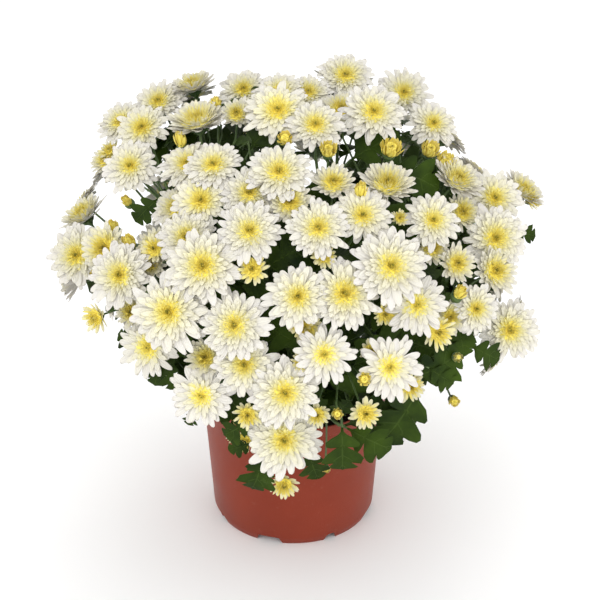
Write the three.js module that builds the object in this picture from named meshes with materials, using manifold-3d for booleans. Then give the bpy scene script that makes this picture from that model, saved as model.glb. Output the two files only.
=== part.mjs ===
// Pot chrysanthemum: five rooted cuttings in a plastic nursery pot. Each cutting was pinched, so
// its main stem forks into shoots, and the shoots carry the blooms of one low dome.
// Millimetres, +Z up. The origin is on the pot's axis, at the underside of its foot.

import * as THREE from 'three';
import { mergeVertices } from 'three/addons/utils/BufferGeometryUtils.js';
import Module from 'manifold-3d';

const wasm = await Module();
wasm.setup();

// ---- driving dimensions ----

const GAP = 0.3; // air between pieces that touch
const TURN = 2 * Math.PI;

const POT = {
  height: 125, wall: 1.1, footRadius: 69.5, bevelHeight: 8, sideRadius: 73, shoulderRadius: 80,
  bandHeight: 12, bandStep: 2.4, rimRadius: 85, floorHeight: 8.2, segments: 40,
};
const NOTCH = { height: 7, wide: 24, narrow: 11, count: 8, firstAngle: -107.5 };
const DRAIN = { radius: 5, ring: 52, count: 8, centreRadius: 7 };
const MIX = { top: 109, crownRise: 3 };

const CUTTING = {
  count: 5, firstAngle: -90, rootRadius: 40, rootDepth: 45, radius: 3.2, sides: 8, steps: 4,
};
const STEM_TOP = { radius: 54, height: 179 };

// Six shoots to a cutting: low, middle and high, on its left and on its right. They leave the
// stem between two shares of its length, and their stalks leave them in the same way.
const SHOOT = { count: 6, from: 0.62, to: 0.98, reach: 0.62, radius: 2.1, sides: 5, steps: 3 };
const BAND_FEET = [200, 300]; // where the middle and the high shoots' blooms begin
const STALK = { from: 0.55, to: 0.95, radius: 1.3, sides: 4, steps: 2 };

// The dome that the blooms' centres lie on, and the loose hem that hangs over the rim.
const CROWN = { centre: 225, radius: 190, rise: 170, drop: 110, hemHeight: 136, hemRadius: 112 };

// Each head is placed by the line of sight it lies on, for an eye in front of the plant that
// looks down on it: how far right (u) and how far down (v) in a square view, 600 units wide.
const EYE = { aimX: 6, aimZ: 204.4, distance: 1150, down: 25, focal: 1331, middle: 300 };

// ---- the plant's heads: [u, v, diameter, out of the dome, turned to the eye, tipped up] ----

const FRONT_BLOOMS = [
  [193, 85, 42, -6, 0.3, 0.3], [160, 104, 50, -10, 0.55], [197, 120, 56, 6, 0.1, 0.7],
  [143, 129, 50, 4, 0.6], [122, 124, 46, -14, 0.55], [244, 92, 48, -12, 0.6], [237, 115, 30, 2],
  [278, 112, 60, 8], [131, 167, 50, 8, 0.65], [108, 160, 34, -8], [188, 166, 50, 0, 0.42, 0.3],
  [214, 167, 48, 6, 0.42, 0.3], [279, 174, 54, 6, 0.42, 0.2], [202, 202, 52, 2],
  [250, 195, 48, 0], [290, 203, 38, 2], [83, 214, 46, 0, 0.1, 0.7], [188, 238, 50, 2],
  [250, 232, 52, 6], [79, 256, 56, 2, 0.6], [106, 249, 42, 8], [204, 267, 62, 8],
  [122, 276, 56, 10], [156, 248, 32, -6], [152, 264, 28, -6], [170, 312, 66, 12],
  [235, 325, 56, 6], [132, 312, 28, -2], [298, 297, 54, 6], [345, 78, 52, 2, 0.62],
  [403, 94, 52, 0, 0.72], [373, 114, 56, 8, 0.55], [432, 125, 48, 4, 0.55], [315, 127, 50, 6],
  [341, 111, 38, -10], [333, 184, 37, 0, 0.3, 0.5], [388, 184, 46, 2, 0.4, 0.9],
  [458, 179, 47, 2, 0.2, 0.3], [493, 199, 57, 6, 0.65], [523, 190, 45, -8, 0.3, 0.4],
  [461, 213, 34, -8], [362, 217, 54, 4, 0.42, 0.25], [318, 229, 50, 6], [432, 221, 51, 4],
  [494, 239, 57, 4, 0.7], [390, 267, 62, 14], [431, 248, 32, -6], [456, 264, 34, 2],
  [494, 271, 42, 4], [344, 294, 58, 4], [416, 305, 50, 0], [474, 309, 46, 2], [449, 317, 31, -6],
  [508, 330, 55, 8, 0.68], [324, 354, 46, 4], [389, 367, 50, 8], [149, 347, 48, -6],
  [245, 364, 54, 0], [202, 395, 50, 4], [285, 392, 58, 6], [284, 439, 66, 8, 0.72],
  [178, 209, 46, -14, 0.2, 0.1], [280, 93, 46, -12, 0.5], [308, 95, 46, -14, 0.5],
];

// ---- leaves: [u, v, length, bearing of the tip (clockwise from up), out of the dome] ----

const LEAVES = [
  [420, 388, 52, 212, -10], [414, 378, 42, 62, -12], [471, 346, 28, 116, -6],
  [342, 427, 36, 178, 6], [347, 428, 38, 118, 2], [265, 456, 34, 197, 2], [308, 450, 28, 165, -4],
  [163, 357, 24, 198, -14], [388, 166, 44, 112, -16], [442, 352, 58, 290, -22],
];

// ---- the far side: a spiral over the dome, kept where no placed bloom is ----

const FAR_SIDE = {
  count: 150, spacing: 46, out: 7, lowest: -0.62, highest: 0.99, turnedAway: 0.35,
  diameter: 46, spread: 12,
};
// The far side is drawn in, step by step, until the near side's outline covers it.
const DRAW_IN = { step: 0.02, most: 0.3, covered: 0.85 };

// A loose spot in the dome, seen through from the eye: its place and radius in the eye's view.
const CLEARING = { u: 135, v: 215, radius: 30 };

// The largest blooms are pieces of their own. The others down to this size stay joined to
// their cutting. Smaller ones and buds are soft trim, and have no solid.
const OWN_COUNT = 43;
const JOINED_DIAMETER = 40;

const COLOURS = {
  pot: 0x9c4a38, mix: 0x3a2b22, stem: 0x55723a, bloom: 0xf4f1e4, leaf: 0x2f5228,
};

// ---- small helpers ----

const vec = (x, y, z) => new THREE.Vector3(x, y, z);
const rad = THREE.MathUtils.degToRad;
const GOLDEN_SHARE = (Math.sqrt(5) - 1) / 2;
const GOLDEN_ANGLE = TURN * (1 - GOLDEN_SHARE);

function onCircle(radius, angle, z) {
  return vec(radius * Math.cos(angle), radius * Math.sin(angle), z);
}

function toSolid(geometry) {
  const bare = new THREE.BufferGeometry();
  bare.setAttribute('position', geometry.getAttribute('position'));
  bare.setIndex(geometry.index);
  const welded = mergeVertices(bare, 1e-3);
  const corners = [];
  const index = welded.index.array;
  for (let i = 0; i < index.length; i += 3) {
    const [a, b, c] = [index[i], index[i + 1], index[i + 2]];
    if (a !== b && b !== c && c !== a) corners.push(a, b, c);
  }
  const vertProperties = Float32Array.from(welded.getAttribute('position').array);
  const mesh = new wasm.Mesh({ numProp: 3, vertProperties, triVerts: Uint32Array.from(corners) });
  return new wasm.Manifold(mesh);
}

function toGeometry(solid) {
  const { vertProperties, triVerts } = solid.getMesh();
  const geometry = new THREE.BufferGeometry();
  geometry.setAttribute('position', new THREE.BufferAttribute(vertProperties, 3));
  geometry.setIndex(new THREE.BufferAttribute(triVerts, 1));
  geometry.computeVertexNormals();
  return geometry;
}

function joined(solids) {
  return solids.reduce((whole, solid) => whole.add(solid));
}

function cutFrom(solid, cutters) {
  return cutters.reduce((rest, cutter) => rest.subtract(cutter), solid);
}

function largestBody(solid) {
  const bodies = solid.decompose();
  return bodies.reduce((best, body) => (body.volume() > best.volume() ? body : best));
}

function lathe(profile, segments) {
  const points = profile.map(([radius, height]) => new THREE.Vector2(radius, height));
  return new THREE.LatheGeometry(points, segments);
}

function turned(profile, segments) {
  return lathe(profile, segments).rotateX(Math.PI / 2);
}

function tube(path, radius, sides, steps) {
  const corners = [];
  for (let i = 0; i < sides; i += 1) {
    const angle = (TURN * i) / sides;
    corners.push(new THREE.Vector2(radius * Math.cos(angle), radius * Math.sin(angle)));
  }
  const section = new THREE.Shape(corners);
  return new THREE.ExtrudeGeometry(section, { extrudePath: path, steps, bevelEnabled: false });
}

function makeMesh(name, geometry, colour, roughness) {
  const material = new THREE.MeshStandardMaterial({ color: colour, roughness, metalness: 0 });
  const mesh = new THREE.Mesh(geometry, material);
  mesh.name = name;
  return mesh;
}

// ---- pot ----

function wallRadius(z) {
  const share = (z - POT.bevelHeight) / (POT.height - POT.bandHeight - POT.bevelHeight);
  return THREE.MathUtils.lerp(POT.sideRadius, POT.shoulderRadius, share);
}

function potProfile() {
  const bandFoot = POT.height - POT.bandHeight;
  const floorTop = POT.floorHeight + POT.wall;
  const inner = (z) => wallRadius(z) - POT.wall;
  return [
    [0, POT.floorHeight], [inner(POT.bevelHeight) - 0.4, POT.floorHeight],
    [POT.footRadius - 1.6, 0], [POT.footRadius, 0], [POT.sideRadius, POT.bevelHeight],
    [POT.shoulderRadius, bandFoot], [POT.shoulderRadius + POT.bandStep, bandFoot + 1],
    [POT.rimRadius, POT.height], [POT.rimRadius - POT.wall, POT.height],
    [POT.shoulderRadius + POT.bandStep - POT.wall, bandFoot + 1 + POT.wall],
    [inner(bandFoot), bandFoot + POT.wall],
    [inner(floorTop + 2), floorTop + 2], [inner(floorTop) - 2, floorTop], [0, floorTop],
  ];
}

function notchSolid(index) {
  const width = index % 2 === 0 ? NOTCH.wide : NOTCH.narrow;
  const depth = 16;
  const box = new THREE.BoxGeometry(depth, width, 2 * NOTCH.height);
  box.translate(POT.footRadius, 0, 0);
  box.rotateZ(rad(NOTCH.firstAngle + (360 / NOTCH.count) * index));
  return toSolid(box);
}

function drainSolid(radius, x, y) {
  const hole = new THREE.CylinderGeometry(radius, radius, 6, 12).rotateX(Math.PI / 2);
  return toSolid(hole.translate(x, y, POT.floorHeight + POT.wall / 2));
}

function makePot() {
  const cutters = [drainSolid(DRAIN.centreRadius, 0, 0)];
  for (let i = 0; i < NOTCH.count; i += 1) cutters.push(notchSolid(i));
  for (let i = 0; i < DRAIN.count; i += 1) {
    const at = onCircle(DRAIN.ring, rad(NOTCH.firstAngle + 22.5) + (TURN * i) / DRAIN.count, 0);
    cutters.push(drainSolid(DRAIN.radius, at.x, at.y));
  }
  const shell = toSolid(turned(potProfile(), POT.segments));
  return makeMesh('pot', toGeometry(cutFrom(shell, cutters)), COLOURS.pot, 0.5);
}

// ---- potting mix ----

function makeMix(stemRoom) {
  const floorTop = POT.floorHeight + POT.wall;
  const inner = (z) => wallRadius(z) - POT.wall - GAP;
  const profile = [
    [0, floorTop + GAP], [inner(floorTop) - 2.4, floorTop + GAP], [inner(floorTop + 3), floorTop + 3],
    [inner(MIX.top), MIX.top], [inner(MIX.top) / 2, MIX.top + MIX.crownRise * 0.8],
    [0, MIX.top + MIX.crownRise],
  ];
  const fill = toSolid(turned(profile, POT.segments));
  return makeMesh('potting_mix', toGeometry(cutFrom(fill, stemRoom)), COLOURS.mix, 0.95);
}

// ---- lines of sight and the dome ----

const eyeDown = rad(EYE.down);
const forward = vec(0, Math.cos(eyeDown), -Math.sin(eyeDown));
const upward = vec(0, Math.sin(eyeDown), Math.cos(eyeDown));
const eyePoint = vec(EYE.aimX, 0, EYE.aimZ).addScaledVector(forward, -EYE.distance);

function sightLine(u, v) {
  const ray = forward.clone().addScaledVector(vec(1, 0, 0), (u - EYE.middle) / EYE.focal);
  return ray.addScaledVector(upward, (EYE.middle - v) / EYE.focal);
}

// Where a line of sight first meets the dome, or passes closest to it.
function meetDome(ray, height, out) {
  const radii = vec(CROWN.radius + out, CROWN.radius + out, height + out);
  const start = eyePoint.clone().sub(vec(0, 0, CROWN.centre)).divide(radii);
  const step = ray.clone().divide(radii);
  const a = step.dot(step);
  const b = start.dot(step);
  const c = start.dot(start) - 1;
  const reach = (-b - Math.sqrt(Math.max(b * b - a * c, 0))) / a;
  return eyePoint.clone().addScaledVector(ray, reach);
}

function meetHem(ray, out) {
  const radius = CROWN.hemRadius + out;
  const a = ray.x * ray.x + ray.y * ray.y;
  const b = eyePoint.x * ray.x + eyePoint.y * ray.y;
  const c = eyePoint.x ** 2 + eyePoint.y ** 2 - radius * radius;
  const reach = (-b - Math.sqrt(Math.max(b * b - a * c, 0))) / a;
  return eyePoint.clone().addScaledVector(ray, reach);
}

function crownPoint(u, v, out) {
  const ray = sightLine(u, v);
  const upper = meetDome(ray, CROWN.rise, out);
  if (upper.z >= CROWN.centre) return upper;
  const lower = meetDome(ray, CROWN.drop, out);
  return lower.z > CROWN.hemHeight ? lower : meetHem(ray, out);
}

function domeNormal(point) {
  const height = point.z >= CROWN.centre ? CROWN.rise : CROWN.drop;
  const side = CROWN.radius ** 2;
  return vec(point.x / side, point.y / side, (point.z - CROWN.centre) / height ** 2).normalize();
}

// ---- heads: blooms that point out of the dome, a little towards the light ----

const LIFT = { near: 0.12, far: 0.24 };

function makeHead([u, v, diameter, out = 0, toEye = 0.42, tip = 0]) {
  const point = crownPoint(u, v, out);
  const facing = domeNormal(point).multiplyScalar(1 - toEye);
  facing.addScaledVector(eyePoint.clone().sub(point).normalize(), toEye);
  facing.z += LIFT.near + tip;
  return { point, facing: facing.normalize(), diameter };
}

// A head's disc as the eye sees it, from the middle of the dome.
function seenDisc({ point, diameter }) {
  const way = point.clone().sub(eyePoint);
  const scale = EYE.focal / way.dot(forward);
  const middle = vec(0, 0, CROWN.centre).sub(eyePoint);
  const middleScale = EYE.focal / middle.dot(forward);
  const x = way.x * scale - middle.x * middleScale;
  const y = way.dot(upward) * scale - middle.dot(upward) * middleScale;
  return { x, y, radius: (diameter / 2) * scale };
}

function outlineReach(x, y, discs) {
  const length = Math.hypot(x, y);
  return discs.reduce((most, disc) => {
    const along = (disc.x * x + disc.y * y) / length;
    const off = (disc.x * y - disc.y * x) / length;
    const half = disc.radius ** 2 - off ** 2;
    return half > 0 ? Math.max(most, along + Math.sqrt(half)) : most;
  }, 0);
}

// The point moved in until a head there is covered, or null where it would have to move too far.
function drawnIn(point, diameter, discs) {
  const middle = vec(0, 0, CROWN.centre);
  for (let inward = 0; inward <= DRAW_IN.most; inward += DRAW_IN.step) {
    const moved = point.clone().lerp(middle, inward);
    const disc = seenDisc({ point: moved, diameter });
    const reach = Math.hypot(disc.x, disc.y) + DRAW_IN.covered * disc.radius;
    if (reach < outlineReach(disc.x, disc.y, discs)) return moved;
  }
  return null;
}

function inClearing(point) {
  const way = point.clone().sub(eyePoint);
  const scale = EYE.focal / way.dot(forward);
  const u = EYE.middle + way.x * scale;
  const v = EYE.middle - way.dot(upward) * scale;
  return Math.hypot(u - CLEARING.u, v - CLEARING.v) < CLEARING.radius;
}

function farSideHeads(placed) {
  const discs = placed.map(seenDisc);
  const heads = [];
  for (let i = 0; i < FAR_SIDE.count; i += 1) {
    const share = (i + 0.5) / FAR_SIDE.count;
    const sine = THREE.MathUtils.lerp(FAR_SIDE.lowest, FAR_SIDE.highest, share);
    const height = FAR_SIDE.out + (sine > 0 ? CROWN.rise : CROWN.drop);
    const radius = (CROWN.radius + FAR_SIDE.out) * Math.sqrt(1 - sine * sine);
    const diameter = FAR_SIDE.diameter + FAR_SIDE.spread * ((i * GOLDEN_SHARE) % 1);
    const onDome = onCircle(radius, GOLDEN_ANGLE * i, CROWN.centre + height * sine);
    const facing = domeNormal(onDome);
    if (facing.dot(eyePoint.clone().sub(onDome).normalize()) > FAR_SIDE.turnedAway) continue;
    const point = drawnIn(onDome, diameter, discs);
    const near = (head) => head.point.distanceTo(point) < FAR_SIDE.spacing;
    if (!point || inClearing(point) || placed.some(near) || heads.some(near)) continue;
    facing.z += LIFT.far;
    heads.push({ point, facing: facing.normalize(), diameter });
  }
  return heads;
}

// A closed disc with the bulk of a double bloom: calyx below, florets domed above.
const BLOOM = { depth: 0.3, rimLow: 0.0, rimHigh: 0.12, rim: 0.8, crown: 0.34 };
const BLOOM_SIDES = { own: 8, joined: 6 };

function bloomProfile(radius, grow) {
  return [
    [0, -BLOOM.depth * radius - grow],
    [BLOOM.rim * radius + grow, BLOOM.rimLow * radius - grow],
    [BLOOM.rim * radius + grow, BLOOM.rimHigh * radius + grow],
    [0.4 * radius, BLOOM.crown * radius + grow], [0, BLOOM.crown * radius + grow],
  ];
}

function headFrame({ point, facing }) {
  const spin = new THREE.Quaternion().setFromUnitVectors(vec(0, 1, 0), facing);
  return new THREE.Matrix4().compose(point, spin, vec(1, 1, 1));
}

function bloomSolid(head, sides, grow = 0) {
  const disc = lathe(bloomProfile(head.diameter / 2, grow), sides);
  return toSolid(disc.applyMatrix4(headFrame(head)));
}

// Where the stalk meets the calyx.
function stalkEnd(head, inset) {
  const back = BLOOM.depth * (head.diameter / 2) - inset;
  return head.point.clone().addScaledVector(head.facing, -back);
}

// ---- leaves: lobed blades, flat in CAD ----

const BLADE = 0.9; // thickness
const HALF_LEAF = [
  [0.03, 0], [0.12, 0.1], [0.34, 0.22], [0.33, 0.34], [0.16, 0.38], [0.42, 0.58], [0.38, 0.7],
  [0.17, 0.68], [0.22, 0.86], [0.1, 0.97],
];

function leafFrame([u, v, length, bearing, out]) {
  const base = crownPoint(u, v, out);
  const face = domeNormal(base).multiplyScalar(0.4);
  face.addScaledVector(eyePoint.clone().sub(base).normalize(), 0.6).normalize();
  const along = vec(Math.sin(rad(bearing)), 0, 0).addScaledVector(upward, Math.cos(rad(bearing)));
  along.addScaledVector(face, -along.dot(face)).normalize();
  const across = along.clone().cross(face);
  const matrix = new THREE.Matrix4().makeBasis(across, along, face).setPosition(base);
  return { matrix, base, along, length };
}

function leafSolid(leaf, grow = 0) {
  const edge = HALF_LEAF.map(([x, y]) => [x * leaf.length + grow, y * leaf.length]);
  const outline = new THREE.Shape();
  outline.moveTo(0, GAP);
  edge.forEach(([x, y]) => outline.lineTo(x, y + GAP));
  edge.reverse().forEach(([x, y]) => outline.lineTo(-x, y + GAP));
  const blade = new THREE.ExtrudeGeometry(outline, { depth: BLADE, bevelEnabled: false });
  return toSolid(blade.translate(0, 0, -BLADE / 2).applyMatrix4(leaf.matrix));
}

// ---- cuttings: stem, shoots and stalks ----

function curveBetween(start, leaving, end, arriving) {
  const span = start.distanceTo(end) * 0.38;
  const first = start.clone().addScaledVector(leaving, span);
  const second = end.clone().addScaledVector(arriving, -span);
  return new THREE.CubicBezierCurve3(start, first, second, end);
}

function cuttingOf(point) {
  const sector = 360 / CUTTING.count;
  const angle = THREE.MathUtils.radToDeg(Math.atan2(point.y, point.x));
  return (Math.round((angle - CUTTING.firstAngle) / sector) + 2 * CUTTING.count) % CUTTING.count;
}

function shootOf(point, cutting) {
  const middle = rad(CUTTING.firstAngle + (360 / CUTTING.count) * cutting);
  const side = Math.sin(Math.atan2(point.y, point.x) - middle) < 0 ? 0 : 1;
  const band = BAND_FEET.filter((foot) => point.z > foot).length;
  return 2 * band + side;
}

function mainStem(cutting) {
  const angle = rad(CUTTING.firstAngle + (360 / CUTTING.count) * cutting);
  const root = onCircle(CUTTING.rootRadius, angle, MIX.top - CUTTING.rootDepth);
  const top = onCircle(STEM_TOP.radius, angle, STEM_TOP.height);
  return curveBetween(root, vec(0, 0, 1), top, top.clone().sub(root).normalize());
}

function shootPath(stem, order, ends) {
  const middle = ends.reduce((sum, end) => sum.add(end), vec(0, 0, 0)).divideScalar(ends.length);
  const share = THREE.MathUtils.lerp(SHOOT.from, SHOOT.to, order / (SHOOT.count - 1));
  const start = stem.getPoint(share);
  const tip = start.clone().lerp(middle, SHOOT.reach);
  const leaving = middle.clone().sub(start).normalize().add(vec(0, 0, 0.5)).normalize();
  return curveBetween(start, leaving, tip, middle.clone().sub(start).normalize());
}

// A target is a bloom or a leaf: the point its stalk reaches, and the way it arrives there.
function stalkPath(shoot, place, target) {
  const share = THREE.MathUtils.lerp(STALK.from, STALK.to, place);
  return curveBetween(shoot.getPoint(share), shoot.getTangent(share), target.end, target.arriving);
}

function makeCutting(cutting, targets, grow) {
  const stem = mainStem(cutting);
  const solids = [toSolid(tube(stem, CUTTING.radius + grow, CUTTING.sides, CUTTING.steps))];
  for (let order = 0; order < SHOOT.count; order += 1) {
    const mine = targets.filter((target) => target.shoot === order);
    if (mine.length === 0) continue;
    const shoot = shootPath(stem, order, mine.map((target) => target.end));
    solids.push(toSolid(tube(shoot, SHOOT.radius + grow, SHOOT.sides, SHOOT.steps)));
    mine.forEach((target, i) => {
      const path = stalkPath(shoot, (i + 1) / mine.length, target);
      solids.push(toSolid(tube(path, STALK.radius + grow, STALK.sides, STALK.steps)));
      if (target.joined) solids.push(bloomSolid(target.head, BLOOM_SIDES.joined, grow));
    });
  }
  return joined(solids);
}

// ---- assembly ----

const group = new THREE.Group();
group.name = 'pot_chrysanthemum';

const placed = FRONT_BLOOMS.map(makeHead);
const blooms = [...placed, ...farSideHeads(placed)];
const leaves = LEAVES.map(leafFrame);

const bySize = [...blooms].sort((a, b) => b.diameter - a.diameter);
const ownBlooms = bySize.slice(0, OWN_COUNT);
const joinedBlooms = bySize.slice(OWN_COUNT).filter((head) => head.diameter >= JOINED_DIAMETER);

function headTarget(head, sunk) {
  const end = stalkEnd(head, sunk ? 1 : -GAP);
  return { head, end, arriving: head.facing, joined: sunk };
}

const targets = [
  ...ownBlooms.map((head) => headTarget(head, false)),
  ...joinedBlooms.map((head) => headTarget(head, true)),
  ...leaves.map((leaf) => ({ end: leaf.base, arriving: leaf.along, joined: false })),
];
targets.forEach((target) => {
  target.cutting = cuttingOf(target.end);
  target.shoot = shootOf(target.end, target.cutting);
});

const stemRoom = [];
const taken = [];
for (let i = 0; i < CUTTING.count; i += 1) {
  const mine = targets.filter((target) => target.cutting === i);
  const solid = largestBody(cutFrom(makeCutting(i, mine, 0), taken));
  taken.push(makeCutting(i, mine, GAP));
  stemRoom.push(toSolid(tube(mainStem(i), CUTTING.radius + GAP, CUTTING.sides, CUTTING.steps)));
  group.add(makeMesh(`cutting_${i + 1}`, toGeometry(solid), COLOURS.stem, 0.7));
}
group.add(makePot(), makeMix(stemRoom));

function placeMesh(name, solid, frame, colour) {
  const local = solid.transform(frame.clone().invert().elements);
  const mesh = makeMesh(name, toGeometry(local), colour, 0.6);
  frame.decompose(mesh.position, mesh.quaternion, mesh.scale);
  group.add(mesh);
}

const NEIGHBOUR = 70; // no two blooms whose centres are further apart can touch
const number = (i) => String(i + 1).padStart(2, '0');
const earlier = [];
ownBlooms.forEach((head, i) => {
  const near = earlier.filter((other) => other.head.point.distanceTo(head.point) < NEIGHBOUR);
  const cutters = [...taken, ...near.map((other) => other.room)];
  const solid = largestBody(cutFrom(bloomSolid(head, BLOOM_SIDES.own), cutters));
  earlier.push({ head, room: bloomSolid(head, BLOOM_SIDES.own, GAP) });
  placeMesh(`bloom_${number(i)}`, solid, headFrame(head), COLOURS.bloom);
});
leaves.forEach((leaf, i) => {
  const cutters = [...taken, ...earlier.map((other) => other.room)];
  const solid = largestBody(cutFrom(leafSolid(leaf), cutters));
  placeMesh(`leaf_${number(i)}`, solid, leaf.matrix, COLOURS.leaf);
});

export default group;
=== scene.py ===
# %% [markdown]
# # A pot chrysanthemum
# The plant is five rooted cuttings in one nursery pot, pinched so that they fork into shoots, and
# grown into a dome of about a hundred double blooms over dark lobed leaves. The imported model
# already holds every stem, disc and blade at its place. This lesson grows the fine surface on it:
# florets, veined leaves, buds, the pot's moulded edges and the crumbs of the mix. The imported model
# is loaded first, because everything else is placed by it.

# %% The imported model
import math
import random
from dataclasses import dataclass

import bmesh
import bpy
from mathutils import Matrix, Vector, noise


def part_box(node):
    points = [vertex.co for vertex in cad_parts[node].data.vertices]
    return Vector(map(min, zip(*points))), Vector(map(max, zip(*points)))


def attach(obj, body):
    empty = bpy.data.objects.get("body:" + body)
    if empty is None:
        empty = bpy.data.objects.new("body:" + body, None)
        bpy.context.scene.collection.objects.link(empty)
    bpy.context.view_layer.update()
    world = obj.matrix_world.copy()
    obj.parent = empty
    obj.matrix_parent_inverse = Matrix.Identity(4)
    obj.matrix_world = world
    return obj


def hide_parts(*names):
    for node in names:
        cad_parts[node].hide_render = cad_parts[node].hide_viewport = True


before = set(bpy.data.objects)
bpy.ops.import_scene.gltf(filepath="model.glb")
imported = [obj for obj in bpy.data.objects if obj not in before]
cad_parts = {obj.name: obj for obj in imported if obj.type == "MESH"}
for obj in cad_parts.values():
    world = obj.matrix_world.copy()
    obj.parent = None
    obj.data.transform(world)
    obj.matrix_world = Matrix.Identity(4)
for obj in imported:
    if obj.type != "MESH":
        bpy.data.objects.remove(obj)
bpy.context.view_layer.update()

MM = 0.001
TURN = 2 * math.pi
UP = Vector((0, 0, 1))
scene = bpy.context.scene


# %% [markdown]
# ## The eye
# A long lens a good metre away, looking down by 25 degrees, sees the dome's top and the pot's
# side at once. The same eye is used later to place blooms, because a head of flowers is arranged
# for the side it is seen from. So its numbers are named here and kept.

# %% The camera
LOOK_DOWN = math.radians(25)
AIM = Vector((6 * MM, 0, 204.4 * MM))
EYE_DISTANCE = 1.15
PICTURE = 600.0  # the picture's width, in the units of the sight lines below
PICTURE_MIDDLE = PICTURE / 2
FOCAL = 1331.0   # in the same units
SENSOR = 36.0

RIGHT = Vector((1, 0, 0))
FORWARD = Vector((0, math.cos(LOOK_DOWN), -math.sin(LOOK_DOWN)))
UPWARD = Vector((0, math.sin(LOOK_DOWN), math.cos(LOOK_DOWN)))
EYE = AIM - FORWARD * EYE_DISTANCE


def add_object(name, data):
    thing = bpy.data.objects.new(name, data)
    scene.collection.objects.link(thing)
    return thing


camera_data = bpy.data.cameras.new("camera")
camera_data.sensor_width = SENSOR
camera_data.lens = SENSOR * FOCAL / PICTURE
camera = add_object("camera", camera_data)
camera.location = EYE
camera.rotation_euler = (math.pi / 2 - LOOK_DOWN, 0, 0)
scene.camera = camera
print("camera at", [round(x, 3) for x in EYE], "lens", round(camera_data.lens, 1), "mm")


# %% [markdown]
# ## Light and floor
# White petals only look white if their shaded sides turn a soft grey and nothing else tints them.
# A bright even sky gives the base light. One large lamp from the upper left shapes the florets, a
# low one at the right keeps the leaves from going black, and one behind lights the dome's far
# edge. The standard view transform keeps the whites clean, where a filmic one would grey them.

# %% Sky and lamps
SKY_STRENGTH = 1.05
LAMPS = {  # place and size in metres, power in watts
    "key": ((-0.7, -1.6, 1.2), 1.2, 9.0),
    "fill": ((1.2, -1.3, 0.4), 1.2, 6.0),
    "back": ((0.3, 1.4, 1.4), 1.0, 6.0),
}

scene.view_settings.view_transform = "Standard"
world = bpy.data.worlds.new("sky")
world.use_nodes = True
sky = world.node_tree.nodes["Background"]
sky.inputs["Color"].default_value = (1, 1, 1, 1)
sky.inputs["Strength"].default_value = SKY_STRENGTH
scene.world = world

for lamp_name, (place, size, power) in LAMPS.items():
    lamp_data = bpy.data.lights.new(lamp_name, "AREA")
    lamp_data.size = size
    lamp_data.energy = power
    lamp = add_object(lamp_name, lamp_data)
    lamp.location = place
    lamp.rotation_euler = (AIM - Vector(place)).to_track_quat("-Z", "Y").to_euler()
print("lamps:", ", ".join(LAMPS))


# %% The floor
FLOOR_SIZE = 14.0

bm = bmesh.new()
bmesh.ops.create_grid(bm, x_segments=1, y_segments=1, size=FLOOR_SIZE / 2)
floor_mesh = bpy.data.meshes.new("floor")
bm.to_mesh(floor_mesh)
bm.free()
floor = add_object("floor", floor_mesh)
print("floor:", FLOOR_SIZE, "m wide")


# %% [markdown]
# ## Small tools
# Every piece here is made the same way: a bmesh is shaped, written to a mesh, given its finishes
# and put on the body it rides on. Thin solids such as petals need a crisp rim, or smooth shading
# makes them look inflated, so edges that turn sharply are marked sharp.

# %% Making a piece
SHARP_TURN = math.radians(50)


def shade(mesh):
    mesh.shade_smooth()
    mesh.set_sharp_from_angle(angle=SHARP_TURN)
    return mesh


def to_mesh(name, bm, finishes):
    mesh = bpy.data.meshes.new(name)
    bm.to_mesh(mesh)
    bm.free()
    for finish in finishes:
        mesh.materials.append(finish)
    return shade(mesh)


def place_piece(name, mesh, slot, *nodes):
    """A piece on the plant's one body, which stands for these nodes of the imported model."""
    piece = add_object(name, mesh)
    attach(piece, "root")
    if nodes:
        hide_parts(*nodes)
    return piece


print("edges that turn by more than", round(math.degrees(SHARP_TURN)), "degrees stay crisp")


# %% Copies and in-between values
def moved_copy(mesh, matrix):
    copy = mesh.copy()
    copy.transform(matrix)
    return copy


def take_in(bm, mesh):
    """Adds a mesh to a bmesh and removes the mesh."""
    bm.from_mesh(mesh)
    bpy.data.meshes.remove(mesh)


def blend(a, b, share):
    return a + (b - a) * share


def ease(value, start, end):
    """0 before start, 1 after end, and smooth between them."""
    share = min(max((value - start) / (end - start), 0), 1)
    return share * share * (3 - 2 * share)


print("a quarter of the way from 0 to 1:", blend(0, 1, 0.25), "even,", ease(0.25, 0, 1), "eased")


# %% [markdown]
# ## Shader building blocks
# A soft mottle comes back in every finish, because no grown or moulded surface has one flat
# colour. Fine lines run along the petals, and veins through the leaves. Each of the three is a
# node group with named inputs, built once. A group puts out only a mask, and the material turns
# it into its own colours and bumps. On the petals, the lines' grooves are darkened as painted shade.

# %% Adding a node
def feed(tree, socket, value):
    """Gives a socket a number, a colour, or what another node puts out."""
    if isinstance(value, bpy.types.NodeSocket):
        tree.links.new(value, socket)
    else:
        socket.default_value = (*value, 1) if isinstance(value, tuple) else value


def add_node(tree, kind, feeds, **settings):
    """A node with its settings made, then its inputs fed by name or number. Returns its outputs."""
    node = tree.nodes.new(kind)
    for name, value in settings.items():
        setattr(node, name, value)
    for label, value in feeds.items():
        feed(tree, node.inputs[label], value)
    return node.outputs


def calculate(tree, operation, *values):
    return add_node(tree, "ShaderNodeMath", dict(enumerate(values)), operation=operation)[0]


def read_attribute(tree, name):
    return add_node(tree, "ShaderNodeAttribute", {}, attribute_name=name)["Fac"]


def object_place(tree):
    return add_node(tree, "ShaderNodeTexCoord", {})["Object"]


print("node tools: feed, add_node, calculate, read_attribute, object_place")


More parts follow.
